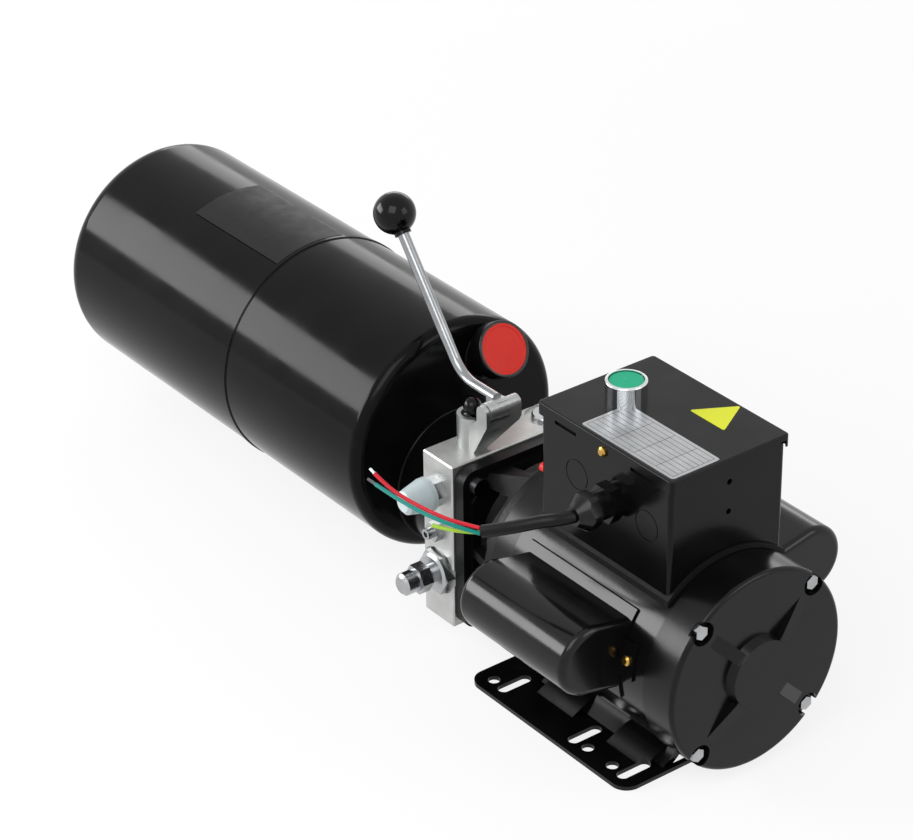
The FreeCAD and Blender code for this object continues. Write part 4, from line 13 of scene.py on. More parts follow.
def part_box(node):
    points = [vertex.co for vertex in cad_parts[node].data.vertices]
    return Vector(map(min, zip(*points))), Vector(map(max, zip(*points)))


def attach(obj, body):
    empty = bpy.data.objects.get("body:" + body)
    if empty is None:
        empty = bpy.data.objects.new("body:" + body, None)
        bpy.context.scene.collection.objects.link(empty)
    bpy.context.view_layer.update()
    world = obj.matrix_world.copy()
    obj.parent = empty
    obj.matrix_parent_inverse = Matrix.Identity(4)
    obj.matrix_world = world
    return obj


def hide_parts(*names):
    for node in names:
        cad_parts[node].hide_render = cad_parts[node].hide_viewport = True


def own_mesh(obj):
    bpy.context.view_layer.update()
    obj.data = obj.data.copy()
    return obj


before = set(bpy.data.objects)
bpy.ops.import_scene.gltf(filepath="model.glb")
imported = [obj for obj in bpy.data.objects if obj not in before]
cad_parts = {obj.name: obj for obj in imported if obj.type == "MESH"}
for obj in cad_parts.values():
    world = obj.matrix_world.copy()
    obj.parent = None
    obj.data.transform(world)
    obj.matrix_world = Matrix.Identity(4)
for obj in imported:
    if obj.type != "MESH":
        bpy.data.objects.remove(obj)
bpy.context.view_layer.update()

bl_info = {
    "name": "Hydraulic power unit looks",
    "version": (1, 0, 0),
    "blender": (4, 5, 0),
    "location": "3D View > Sidebar > Power unit",
    "description": "Finishes, plates, leads and stage of a motor-driven hydraulic power unit",
    "category": "Object",
}

MM = 0.001

# the leads' routes, each point in metres in the same frame as the solids
CABLE_ROUTE = (
    (0.0385, -0.0845, 0.1900),
    (0.0370, -0.0935, 0.1906),
    (0.0295, -0.1035, 0.1894),
    (0.0215, -0.1125, 0.1860),
    (0.0120, -0.1205, 0.1820),
    (0.0006, -0.1280, 0.1774),
)
CORE_ROUTES = {
    "core_red": (
        (-0.0008, -0.1289, 0.1796),
        (-0.0193, -0.1350, 0.1774),
        (-0.0436, -0.1390, 0.1760),
        (-0.0706, -0.1410, 0.1752),
        (-0.0865, -0.1414, 0.1768),
        (-0.0975, -0.1414, 0.1795),
    ),
    "core_green": (
        (0.0010, -0.1300, 0.1767),
        (-0.0157, -0.1378, 0.1770),
        (-0.0390, -0.1425, 0.1760),
        (-0.0620, -0.1448, 0.1757),
        (-0.0775, -0.1454, 0.1758),
        (-0.0910, -0.1456, 0.1760),
    ),
    "core_ground": (
        (-0.0004, -0.1272, 0.1756),
        (-0.0163, -0.1320, 0.1707),
        (-0.0297, -0.1340, 0.1667),
        (-0.0435, -0.1350, 0.1632),
    ),
}

# the filler spout's foot on the tank's flat front, and how far it leans up from level
SPOUT_FOOT = (-0.1955, 0.0260, 0.1705)
SPOUT_RADIUS = 0.016
SPOUT_TILT = math.radians(30)

# the tank label's gap to the seam, the angle at which its wrap starts, from the far side upwards,
# how far it goes round, and its lift off the enamel
LABEL_TO_SEAM = 0.003
LABEL_START = math.radians(76)
LABEL_ANGLE = math.radians(38)
LABEL_LIFT = 0.02 * MM

# the thin rolled edge where the front shell meets the rear one
SEAM_ROLL = 0.7 * MM

# facets: round a weld bead's ring and its section, round the seam, and round the label's wrap
BEAD_STEPS = 96
BEAD_SIDES = 10
SEAM_STEPS = 144
LABEL_STEPS = 48

# the rating plate: its corners, the ruled table's inset, its lines and where its columns stand
PLATE_CORNER = 2 * MM
TABLE_INSET = 2.5 * MM
LINE_WIDTH = 0.35 * MM
INK_THICKNESS = 0.03 * MM
TABLE_ROWS = 8
COLUMN_SHARES = (0.0, 0.3, 0.55, 0.8, 1.0)

# the patch's middle from the lid's front edge and from its middle line, and its corners
PATCH_FROM_FRONT = 46 * MM
PATCH_FROM_MIDDLE = 29 * MM
PATCH_CORNER = 2.2 * MM

# bare strands: six wires round one, a little thinner at the cut, starting just inside the core
STRAND_ROOT_RADIUS = 0.32 * MM
STRAND_TIP_RADIUS = 0.26 * MM
STRANDS_ROUND = 6
STRAND_RING_SHARE = 0.26
STRAND_INSIDE_CORE = 0.5 * MM

# the floor lies a hair below the foot, so that the two faces don't fight
FLOOR_DROP = 0.1 * MM
FLOOR_HALF_WIDTH = 6.0
# how much of the floor is plain white to the eye; the rest keeps the shadow
FLOOR_WHITE_SHARE = 0.82

# product view: from the end cover's side, about 30 degrees above level, with a long lens
CAMERA_AZIMUTH = math.radians(52.919)
CAMERA_ELEVATION = math.radians(29.954)
CAMERA_ROLL = math.radians(-0.7995)
CAMERA_TARGET = (-0.1624, -0.0245, 0.1490)
CAMERA_DISTANCE = 2.2232
CAMERA_SENSOR_MM = 36.0
CAMERA_LENS_MM = 125.95


# ---------------------------------------------------------------- sizes and colours to change

def linear(hex_colour):
    """An sRGB hex colour as linear red, green, blue and alpha."""
    parts = [int(hex_colour[i:i + 2], 16) / 255 for i in (1, 3, 5)]
    return tuple(p / 12.92 if p <= 0.04045 else ((p + 0.055) / 1.055) ** 2.4 for p in parts) + (1.0,)


def length_property(name, description, default):
    """A length in metres that the panel shows."""
    return bpy.props.FloatProperty(
        name=name, description=description, default=default, min=0.0, unit="LENGTH", precision=5
    )


def colour_property(name, description, default):
    """A colour that the panel shows, given as sRGB hex."""
    return bpy.props.FloatVectorProperty(
        name=name, description=description, default=linear(default)[:3], size=3, min=0.0, max=1.0,
        subtype="COLOR",
    )


class PowerUnitSizes(bpy.types.PropertyGroup):
    plate_length: length_property("Rating plate length", "Along the motor", 0.090)
    plate_width: length_property("Rating plate width", "Across the lid", 0.040)
    plate_thickness: length_property("Rating plate thickness", "Sheet of the bare plate", 0.0004)
    plate_margin: length_property("Rating plate margin", "From the lid's front and side edges", 0.0030)
    patch_side: length_property("Patch side", "Side of the plain triangular patch on the lid", 0.034)
    patch_thickness: length_property("Patch thickness", "Thickness of the vinyl patch", 0.0002)
    label_length: length_property("Tank label length", "Along the tank, up to the seam", 0.108)
    label_thickness: length_property("Tank label thickness", "Thickness of the bare film", 0.0002)
    weld_radius: length_property("Weld bead", "Radius of the bead round the neck and the spout", 0.0016)
    cable_diameter: length_property("Cable diameter", "Outside of the sheathed cable", 0.0088)
    core_diameter: length_property("Core diameter", "Outside of an insulated core", 0.0027)
    strand_length: length_property("Bare strands", "Stripped length at a core's end", 0.006)


class PowerUnitColours(bpy.types.PropertyGroup):
    enamel: colour_property("Black enamel", "Motor, tank, box and foot", "#070708")
    cap_green: colour_property("Button green", "Start button", "#00a67c")
    signal_red: colour_property("Signal red", "Filler disc and reset button", "#d6281c")
    patch_yellow: colour_property("Patch yellow", "Plain patch on the lid", "#dbe02a")
    sheath_teal: colour_property("Blue-green core", "Insulation", "#007c72")
    sheath_red: colour_property("Red core", "Insulation", "#c4152a")
    sheath_lime: colour_property("Yellow-green core", "Insulation", "#93ba2c")


# ---------------------------------------------------------------- materials

# sockets of a Mix node that mixes colours: its factor, its two colours and its result
MIX_FACTOR, MIX_FIRST, MIX_SECOND, MIX_RESULT = 0, 6, 7, 2

# noise seldom leaves this stretch of its values, so a pattern is spread out from here
PATTERN_LOW, PATTERN_HIGH = 0.3, 0.7

# the stretch of a grain that runs no particular way
EVEN = (1.0, 1.0, 1.0)


def empty_tree(owner):
    """The cleared node tree of a material or a world."""
    owner.use_nodes = True
    owner.node_tree.nodes.clear()
    return owner.node_tree


def add(tree, kind, settings=None, links=None):
    """One node with its settings, and its inputs linked from other nodes' outputs."""
    made = tree.nodes.new("ShaderNode" + kind)
    for key, value in (settings or {}).items():
        if isinstance(key, int) or key in made.inputs:
            made.inputs[key].default_value = value
        else:
            setattr(made, key, value)
    for key, (source, output) in (links or {}).items():
        tree.links.new(source.outputs[output], made.inputs[key])
    return made


def opaque(rgb):
    """A picked colour with full alpha."""
    return (rgb[0], rgb[1], rgb[2], 1.0)


def surface(name, colour, metallic, roughness, shine=0.5, **sockets):
    """A material with one Principled shader, whose plain values sit on its own sockets."""
    made = bpy.data.materials.new(name)
    made.diffuse_color = colour
    tree = empty_tree(made)
    settings = {"Base Color": colour, "Metallic": metallic, "Roughness": roughness}
    settings.update({"Specular IOR Level": shine, **sockets})
    shader = add(tree, "BsdfPrincipled", settings)
    add(tree, "OutputMaterial", links={"Surface": (shader, "BSDF")})
    place = add(tree, "TexCoord")
    return made, tree, shader, place


def grain(tree, place, feature_mm, detail, stretch=EVEN):
    """Noise whose features are about that many millimetres across, closer where stretch is more."""
    mapping = add(tree, "Mapping", {"Scale": stretch}, {"Vector": (place, "Object")})
    settings = {"Scale": 1 / (feature_mm * MM), "Detail": detail}
    return add(tree, "TexNoise", settings, {"Vector": (mapping, "Vector")})


def emboss(tree, shader, pattern, height_mm, strength=1.0):
    """Raises the pattern out of the surface by up to that many millimetres."""
    settings = {"Strength": strength, "Distance": height_mm * MM}
    relief = add(tree, "Bump", settings, {"Height": (pattern, "Fac")})
    tree.links.new(relief.outputs["Normal"], shader.inputs["Normal"])


def vary_gloss(tree, shader, pattern, smoothest, roughest):
    """Lets the roughness wander with the pattern."""
    settings = {
        "From Min": PATTERN_LOW, "From Max": PATTERN_HIGH, "To Min": smoothest, "To Max": roughest,
    }
    rough = add(tree, "MapRange", settings, {"Value": (pattern, "Fac")})
    tree.links.new(rough.outputs["Result"], shader.inputs["Roughness"])


def vary_colour(tree, shader, pattern, first, second):
    """Lets the colour wander with the pattern, from the first to the second."""
    settings = {"From Min": PATTERN_LOW, "From Max": PATTERN_HIGH, "To Min": 0.0, "To Max": 1.0}
    share = add(tree, "MapRange", settings, {"Value": (pattern, "Fac")})
    settings = {"data_type": "RGBA", MIX_FIRST: first, MIX_SECOND: second}
    mixed = add(tree, "Mix", settings, {MIX_FACTOR: (share, "Result")})
    tree.links.new(mixed.outputs[MIX_RESULT], shader.inputs["Base Color"])


def enamel(name, colour, roughness, peel_mm, peel_height_mm, shine):
    """Sprayed enamel on steel: a faint orange peel breaks the highlight's edge."""
    made, tree, shader, place = surface(name, colour, 0.0, roughness, shine)
    peel = grain(tree, place, peel_mm, 2.0)
    emboss(tree, shader, peel, peel_height_mm)
    # where the film is thin it is a little duller and paler
    thinness = grain(tree, place, 38.0, 4.0)
    vary_gloss(tree, shader, thinness, roughness - 0.03, roughness + 0.04)
    paler = tuple(min(1.0, c * 1.3 + 0.0008) for c in colour[:3]) + (1.0,)
    vary_colour(tree, shader, thinness, colour, paler)
    return made


def cast_enamel(name, colour):
    """Enamel over a sand casting: the mould's grain shows through the paint."""
    made, tree, shader, place = surface(name, colour, 0.0, 0.42, 0.2)
    sand = grain(tree, place, 1.1, 5.0)
    emboss(tree, shader, sand, 0.22, 0.8)
    vary_gloss(tree, shader, sand, 0.34, 0.5)
    return made


def metal(name, hex_colour, roughness, grain_mm, stretch, height_mm, gloss_range=0.08):
    """A bare metal with fine marks, which run one way where the stretch says so."""
    colour = linear(hex_colour)
    made, tree, shader, place = surface(name, colour, 1.0, roughness)
    marks = grain(tree, place, grain_mm, 4.0, stretch)
    emboss(tree, shader, marks, height_mm, 0.6)
    vary_gloss(tree, shader, marks, max(0.03, roughness - gloss_range), roughness + gloss_range)
    darker = tuple(c * 0.82 for c in colour[:3]) + (1.0,)
    cloud = grain(tree, place, 14.0, 3.0)
    vary_colour(tree, shader, cloud, darker, colour)
    return made


def plastic(name, colour, roughness, grain_mm=0.8, height_mm=0.02, shine=0.5, **sockets):
    """A moulded plastic with a fine mould texture."""
    made, tree, shader, place = surface(name, colour, 0.0, roughness, shine, **sockets)
    texture = grain(tree, place, grain_mm, 2.0)
    emboss(tree, shader, texture, height_mm, 0.5)
    handling = grain(tree, place, 9.0, 3.0)
    vary_gloss(tree, shader, handling, max(0.04, roughness - 0.05), roughness + 0.06)
    return made


def wire_mesh(name):
    """Woven stainless wire: a square weave, drawn coarser than the real one so that it shows."""
    made, tree, shader, place = surface(name, linear("#a9aaa5"), 1.0, 0.35)
    weave_mm = 1.6
    weave = add(tree, "TexBrick", {
        "Scale": 1 / (weave_mm * MM), "Mortar Size": 0.25, "Brick Width": 1.0, "Row Height": 1.0,
        "offset": 0.0,
        "Color1": linear("#b9bab4"), "Color2": linear("#a2a39d"), "Mortar": linear("#3a3a38"),
    }, {"Vector": (place, "Object")})
    tree.links.new(weave.outputs["Color"], shader.inputs["Base Color"])
    emboss(tree, shader, weave, 0.3, 0.8)
    return made


def make_materials(colours):
    """Every finish on the unit, by a plain name."""
    black = opaque(colours.enamel)
    green = opaque(colours.cap_green)
    red = opaque(colours.signal_red)
    yellow = opaque(colours.patch_yellow)
    core_teal = opaque(colours.sheath_teal)
    core_red = opaque(colours.sheath_red)
    core_lime = opaque(colours.sheath_lime)
    return {
        # gloss enamel on the drawn steel tank: long soft highlights with a slight peel
        "tank_enamel": enamel("gloss_black_enamel_drawn_steel", black, 0.13, 3.2, 0.012, 0.1),
        # satin enamel on the box's pressed sheet: broader highlights
        "sheet_enamel": enamel("satin_black_enamel_sheet_steel", black, 0.19, 2.2, 0.02, 0.16),
        # enamel on the motor's shell, foot and covers, glossier than on the box: a bright band along each
        "shell_enamel": enamel("gloss_black_enamel_rolled_steel", black, 0.15, 2.6, 0.015, 0.28),
        # enamel on die-cast end bells: a little grain under the paint
        "bell_enamel": enamel("satin_black_enamel_die_cast_aluminium", black, 0.22, 1.4, 0.03, 0.22),
        # enamel on the sand-cast adapter: dull and grainy
        "cast_enamel": cast_enamel("black_enamel_sand_cast_iron", black),
        # milled aluminium plate: even fine cutter lines across the block
        "milled_aluminium": metal("milled_aluminium_plate", "#c6c7c5", 0.48, 0.5, (1.0, 0.12, 4.0), 0.012),
        # zinc plate on turned steel: a bluish grey with fine tool marks
        "zinc_steel": metal("zinc_plated_turned_steel", "#b4b6b8", 0.27, 0.4, (3.0, 1.0, 1.0), 0.01),
        # bare die casting, tumbled: pale grey with a dull, fine grain
        "die_cast": metal("tumbled_die_cast_zinc", "#b2b4b3", 0.42, 0.9, EVEN, 0.05),
        # drawn bar under a clear nickel plate: bright and smooth
        "bright_rod": metal("nickel_plated_drawn_steel", "#9b9d9f", 0.2, 0.6, EVEN, 0.008),
        # oiled black oxide on alloy steel: near black with a metal's sheen
        "oxide_steel": metal("black_oxide_steel", "#2b2b2d", 0.34, 0.5, EVEN, 0.01),
        # ground steel: bright, with very fine marks across the shaft
        "ground_steel": metal("ground_shaft_steel", "#a8a9aa", 0.22, 0.3, (4.0, 1.0, 1.0), 0.006),
        # stacked steel sheets: dull grey, with the sheets' edges as fine lines
        "lamination": metal("stacked_lamination_steel", "#8d8e90", 0.45, 0.5, (8.0, 0.2, 0.2), 0.05),
        # lacquered copper wire: reddish brown, ridged by its turns
        "copper_wire": metal("enamelled_copper_winding", "#a8552a", 0.3, 1.0, (0.3, 0.3, 3.0), 0.3),
        # tinned copper wires: pale on the red core, drawn dark grey on the blue-green core
        "tinned_strand": metal("tinned_copper_strand", "#c3ccc4", 0.3, 0.3, EVEN, 0.05),
        "dark_strand": metal("tarnished_tinned_copper_strand", "#55585a", 0.45, 0.3, EVEN, 0.05),
        # turned brass: yellow and bright, hardly dulled
        "brass": metal("turned_brass", "#c9a052", 0.25, 0.3, EVEN, 0.006),
        # chrome on a turned ring: close to a mirror
        "chrome": metal("chrome_plate", "#dfe1e3", 0.07, 2.0, EVEN, 0.002, 0.02),
        # drawn can: pale, with faint lines along its length
        "drawn_aluminium": metal("drawn_aluminium_can", "#bfc0c1", 0.3, 0.6, (0.1, 1.0, 1.0), 0.01),
        # woven wire: pale squares with dark gaps
        "wire_mesh": wire_mesh("woven_stainless_mesh"),
        # moulded polycarbonate: a clean green with a small sharp highlight
        "green_cap": plastic("moulded_green_polycarbonate", green, 0.22, shine=0.15),
        # polyethylene: a waxy red without a sharp highlight
        "red_disc": plastic("moulded_red_polyethylene", red, 0.38, shine=0.2),
        # unpigmented polyethylene: milky, because light goes a little way in
        "white_cap": plastic("moulded_clear_polyethylene", linear("#b9c6c9"), 0.36,
                             **{"Subsurface Weight": 0.15, "Subsurface Scale": 0.003}),
        # tumbled and polished phenolic: a deep black with a crisp highlight
        "phenolic": plastic("polished_black_phenolic", linear("#050506"), 0.14, 3.0, 0.004, 0.2),
        # moulded nylon: black with a soft highlight
        "nylon": plastic("moulded_black_nylon", linear("#09090a"), 0.22, 0.7, 0.02, 0.3),
        # nitrile rubber: a flat black
        "rubber": plastic("black_nitrile_rubber", linear("#0d0d0d"), 0.6, 0.6, 0.05, 0.2),
        # extruded cable jacket: a satin black
        "jacket": plastic("black_pvc_cable_jacket", linear("#0a0a0b"), 0.36, 1.2, 0.04, 0.2),
        # extruded core insulation: strong colours with a satin sheen
        "teal_core": plastic("blue_green_pvc_insulation", core_teal, 0.4, shine=0.2),
        "red_core": plastic("red_pvc_insulation", core_red, 0.4, shine=0.2),
        "lime_core": plastic("yellow_green_pvc_insulation", core_lime, 0.4, shine=0.2),
        # vinyl film: a flat, bright yellow
        "patch": plastic("yellow_vinyl_film", yellow, 0.45, 1.5, 0.01, 0.15),
        # dark vinyl film: duller than the enamel, so it shows only where the enamel shines
        "label_film": plastic("black_satin_vinyl_film", linear("#131314"), 0.5, 1.2, 0.01, 0.2),
        # brushed foil: a soft grey with fine lines along the plate
        "plate": metal("brushed_aluminium_foil_plate", "#aeb0b2", 0.33, 0.35, (0.06, 1.0, 1.0), 0.004),
        # printed ink: dull and near black
        "plate_ink": plastic("printed_black_ink", linear("#26272a"), 0.5),
    }


NODE_FINISHES = {
    "tank_enamel": ("tank_rear_shell", "tank_front_shell", "tank_neck"),
    "sheet_enamel": ("junction_box", "box_lid"),
    "shell_enamel": ("motor_shell", "foot_plate", "capacitor_cover_near", "capacitor_cover_far"),
    "bell_enamel": ("end_cover", "drive_end_shield"),
    "cast_enamel": ("adapter_housing",),
    "milled_aluminium": ("manifold_block", "pump_body"),
    "zinc_steel": (
        "through_bolts", "outlet_fitting", "relief_lock_nut", "relief_adjuster", "check_valve_body",
        "check_valve_cap", "release_valve_body", "port_plug", "lever_pin", "pump_bolts", "suction_tube",
    ),
    "die_cast": ("lever_bracket", "lever_hub"),
    "bright_rod": ("lever_rod",),
    "oxide_steel": ("adapter_screws", "neck_screws", "pump_cover"),
    "ground_steel": (
        "motor_shaft", "coupling_sleeve", "shaft_bearings", "drive_gear", "driven_gear", "release_spring",
    ),
    "lamination": ("stator_core", "rotor_core"),
    "copper_wire": ("stator_windings",),
    "brass": ("brass_screws",),
    "chrome": ("button_bezel",),
    "drawn_aluminium": ("capacitors",),
    "wire_mesh": ("suction_strainer",),
    "green_cap": ("button_cap",),
    "red_disc": ("filler_cap_disc", "reset_button"),
    "white_cap": ("outlet_dust_cap",),
    "phenolic": ("lever_knob", "release_plunger"),
    "nylon": ("cable_gland", "gland_nut", "filler_cap", "contact_block"),
    "rubber": ("box_saddle", "neck_seal"),
    "jacket": ("power_cable",),
    "teal_core": ("core_green",),
    "red_core": ("core_red",),
    "lime_core": ("core_ground",),
}


# ---------------------------------------------------------------- helpers for new pieces

# vertices closer than this are one vertex
MERGE_DISTANCE = 1e-7


def finish_mesh(name, mesh_work, material, body, smooth=False):
    """Turns a bmesh into a piece that rides on a body, with its normals outward."""
    bmesh.ops.remove_doubles(mesh_work, verts=mesh_work.verts, dist=MERGE_DISTANCE)
    bmesh.ops.recalc_face_normals(mesh_work, faces=mesh_work.faces)
    mesh = bpy.data.meshes.new(name)
    mesh_work.to_mesh(mesh)
    mesh_work.free()
    for polygon in mesh.polygons:
        polygon.use_smooth = smooth
    piece = bpy.data.objects.new(name, mesh)
    bpy.context.scene.collection.objects.link(piece)
    piece.data.materials.append(material)
    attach(piece, body)
    return piece


def add_block(work, low, high):
    """A box between two corners."""
    low, high = Vector(low), Vector(high)
    size = Matrix.Diagonal((*(high - low), 1.0))
    bmesh.ops.create_cube(work, size=1.0, matrix=Matrix.Translation((low + high) / 2) @ size)


def add_ring(work, centre, axis, radius, section, steps=BEAD_STEPS):
    """A round bead: a small circle spun about an axis."""
    axis = Vector(axis).normalized()
    across = axis.orthogonal().normalized()
    centre = Vector(centre)
    rim = centre + across * radius
    turn = Matrix((across, axis, across.cross(axis))).transposed()
    made = bmesh.ops.create_circle(work, segments=BEAD_SIDES, radius=section,
                                   matrix=Matrix.Translation(rim) @ turn.to_4x4())
    edges = list({e for v in made["verts"] for e in v.link_edges})
    bmesh.ops.spin(work, geom=made["verts"] + edges, cent=centre, axis=axis, angle=math.tau, steps=steps,
                   use_merge=True)


# ---------------------------------------------------------------- operators

class FinishSolids(bpy.types.Operator):
    """Gives every solid of the frame its own finish"""

    bl_idname = "power_unit.finish_solids"
    bl_label = "Finish the solids"

    def execute(self, context):
        materials = make_materials(context.scene.power_unit_colours)
        for finish, nodes in NODE_FINISHES.items():
            for name in nodes:
                cad_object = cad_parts[name]
                for material_slot in cad_object.material_slots:
                    material_slot.material = materials[finish]
                if not cad_object.material_slots:
                    cad_object.data.materials.append(materials[finish])
        for key, made in materials.items():
            made["power_unit_key"] = key
        return {"FINISHED"}


def finish_named(key):
    """The finish of that name, as the first step made it."""
    for made in bpy.data.materials:
        if made.get("power_unit_key") == key:
            return made
    raise RuntimeError("there is no finish named " + key + ": run Finish the solids first")


class AddPlate(bpy.types.Operator):
    """Adds the bare rating plate with its ruled lines, and the plain triangular patch"""

    bl_idname = "power_unit.add_plate"
    bl_label = "Add plate and patch"

    def execute(self, context):
        sizes = context.scene.power_unit_sizes
        low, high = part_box("box_lid")
        top = high.z
        front = high.x - sizes.plate_margin
        side = low.y + sizes.plate_margin
        back = front - sizes.plate_length
        far = side + sizes.plate_width
        work = bmesh.new()
        add_block(work, (back, side, top), (front, far, top + sizes.plate_thickness))
        upright = [e for e in work.edges if abs(e.verts[0].co.z - e.verts[1].co.z) > MERGE_DISTANCE]
        bmesh.ops.bevel(work, geom=upright, offset=PLATE_CORNER, segments=4, affect="EDGES", profile=0.5,
                        material=-1)
        finish_mesh("rating_plate", work, finish_named("plate"), "housing")
        self.add_lines(back, side, front, far, top + sizes.plate_thickness)
        self.add_patch(sizes, top)
        return {"FINISHED"}

    def add_lines(self, back, side, front, far, top):
        """A ruled table of thin printed lines, with no lettering."""
        back, front = back + TABLE_INSET, front - TABLE_INSET
        side, far = side + TABLE_INSET, far - TABLE_INSET
        ink_top = top + INK_THICKNESS
        work = bmesh.new()
        for row in range(TABLE_ROWS + 1):
            y = side + (far - side - LINE_WIDTH) * row / TABLE_ROWS
            add_block(work, (back, y, top), (front, y + LINE_WIDTH, ink_top))
        for share in COLUMN_SHARES:
            x = back + (front - back - LINE_WIDTH) * share
            add_block(work, (x, side, top), (x + LINE_WIDTH, far, ink_top))
        ink = finish_named("plate_ink")
        finish_mesh("rating_plate_lines", work, ink, "housing")

    def add_patch(self, sizes, top):
        """A plain three-cornered patch of vinyl film."""
        low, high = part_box("box_lid")
        middle_y = (low.y + high.y) / 2
        centre = Vector((high.x - PATCH_FROM_FRONT, middle_y + PATCH_FROM_MIDDLE, top))
        corner_radius = sizes.patch_side / math.sqrt(3)
        work = bmesh.new()
        made = bmesh.ops.create_circle(work, cap_ends=True, segments=3, radius=corner_radius,
                                       matrix=Matrix.Translation(centre))
        bmesh.ops.bevel(work, geom=made["verts"], offset=PATCH_CORNER, segments=5, affect="VERTICES",
                        profile=0.5, material=-1)
        raised = bmesh.ops.extrude_face_region(work, geom=list(work.faces))
        moved = [v for v in raised["geom"] if isinstance(v, bmesh.types.BMVert)]
        bmesh.ops.translate(work, verts=moved, vec=(0, 0, sizes.patch_thickness))
        finish_mesh("plain_patch", work, finish_named("patch"), "housing")


class AddTankLabel(bpy.types.Operator):
    """Adds the bare dark film that is wrapped over the top of the rear tank shell"""

    bl_idname = "power_unit.add_tank_label"
    bl_label = "Add tank label"

    def execute(self, context):
        sizes = context.scene.power_unit_sizes
        low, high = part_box("tank_rear_shell")
        axis_y = (low.y + high.y) / 2
        axis_z = (low.z + high.z) / 2
        radius = (high.z - low.z) / 2
        front = high.x - LABEL_TO_SEAM
        back = front - sizes.label_length
        axis = Vector((0.0, axis_y, axis_z))
        work = bmesh.new()
        start = Matrix.Rotation(LABEL_START, 3, "X") @ Vector((0.0, radius + LABEL_LIFT, 0.0))
        ends = [work.verts.new((x, axis_y + start.y, axis_z + start.z)) for x in (back, front)]
        edge = work.edges.new(ends)
        bmesh.ops.spin(work, geom=[*ends, edge], cent=axis, axis=(1, 0, 0), angle=LABEL_ANGLE,
                       steps=LABEL_STEPS)
        raised = bmesh.ops.extrude_face_region(work, geom=list(work.faces))
        share = 1 + sizes.label_thickness / radius
        moved = [v for v in raised["geom"] if isinstance(v, bmesh.types.BMVert)]
        bmesh.ops.scale(work, verts=moved, vec=(1, share, share), space=Matrix.Translation(-axis))
        finish_mesh("tank_label", work, finish_named("label_film"), "housing")
        return {"FINISHED"}


class AddWelds(bpy.types.Operator):
    """Adds the weld beads round the tank's neck and filler spout, and the seam's rolled edge"""

    bl_idname = "power_unit.add_welds"
    bl_label = "Add weld beads and seam"

    def execute(self, context):
        bead = context.scene.power_unit_sizes.weld_radius
        low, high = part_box("tank_neck")
        middle = (low + high) / 2
        coat = finish_named("tank_enamel")
        work = bmesh.new()
        add_ring(work, (low.x, middle.y, middle.z), (1, 0, 0), (high.y - low.y) / 2, bead)
        finish_mesh("neck_weld_bead", work, coat, "housing", True)
        # a leaning spout meets the flat front in an oval, so the round bead is drawn out upwards
        work = bmesh.new()
        add_ring(work, SPOUT_FOOT, (1, 0, 0), SPOUT_RADIUS, bead)
        bmesh.ops.scale(work, verts=work.verts, vec=(1, 1, 1 / math.cos(SPOUT_TILT)),
                        space=Matrix.Translation(-Vector(SPOUT_FOOT)))
        finish_mesh("spout_weld_bead", work, coat, "housing", True)
        self.add_seam_edge(coat)
        return {"FINISHED"}

    def add_seam_edge(self, coat):
        """The front shell's rounded edge, which stands a little proud where the two shells meet."""
        low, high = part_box("tank_front_shell")
        middle = (low + high) / 2
        radius = (high.z - low.z) / 2 - SEAM_ROLL / 4
        work = bmesh.new()
        add_ring(work, (low.x + SEAM_ROLL, middle.y, middle.z), (1, 0, 0), radius, SEAM_ROLL, SEAM_STEPS)
        finish_mesh("seam_edge", work, coat, "housing", True)


class AddLeads(bpy.types.Operator):
    """Adds the sheathed cable and its three cores"""

    bl_idname = "power_unit.add_leads"
    bl_label = "Add cable and cores"

    def execute(self, context):
        sizes = context.scene.power_unit_sizes
        self.add_cord("power_cable", CABLE_ROUTE, sizes.cable_diameter, "jacket", "black_rubber", "stiff")
        finishes = {
            "core_red": ("red_core", "red_sheath"),
            "core_green": ("teal_core", "teal_sheath"),
            "core_ground": ("lime_core", "yellow_green_sheath"),
        }
        for node, route in CORE_ROUTES.items():
            finish, slot_name = finishes[node]
            self.add_cord(node, route, sizes.core_diameter, finish, slot_name, "medium")
        return {"FINISHED"}

    def add_cord(self, node, route, diameter, finish, slot_name, stiffness):
        """A round lead along its route, which stands for the node of that name."""
        curve = bpy.data.curves.new(node + "_lead", "CURVE")
        curve.dimensions = "3D"
        spline = curve.splines.new("NURBS")
        spline.points.add(len(route) - 1)
        for point, place in zip(spline.points, route):
            point.co = (*place, 1.0)
        spline.order_u = 3
        spline.use_endpoint_u = True
        spline.resolution_u = 16
        curve.bevel_depth = diameter / 2
        curve.bevel_resolution = 6
        curve.use_fill_caps = True
        lead = bpy.data.objects.new(node + "_lead", curve)
        bpy.context.scene.collection.objects.link(lead)
        curve.materials.append(finish_named(finish))
        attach(lead, "housing")
        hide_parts(node)


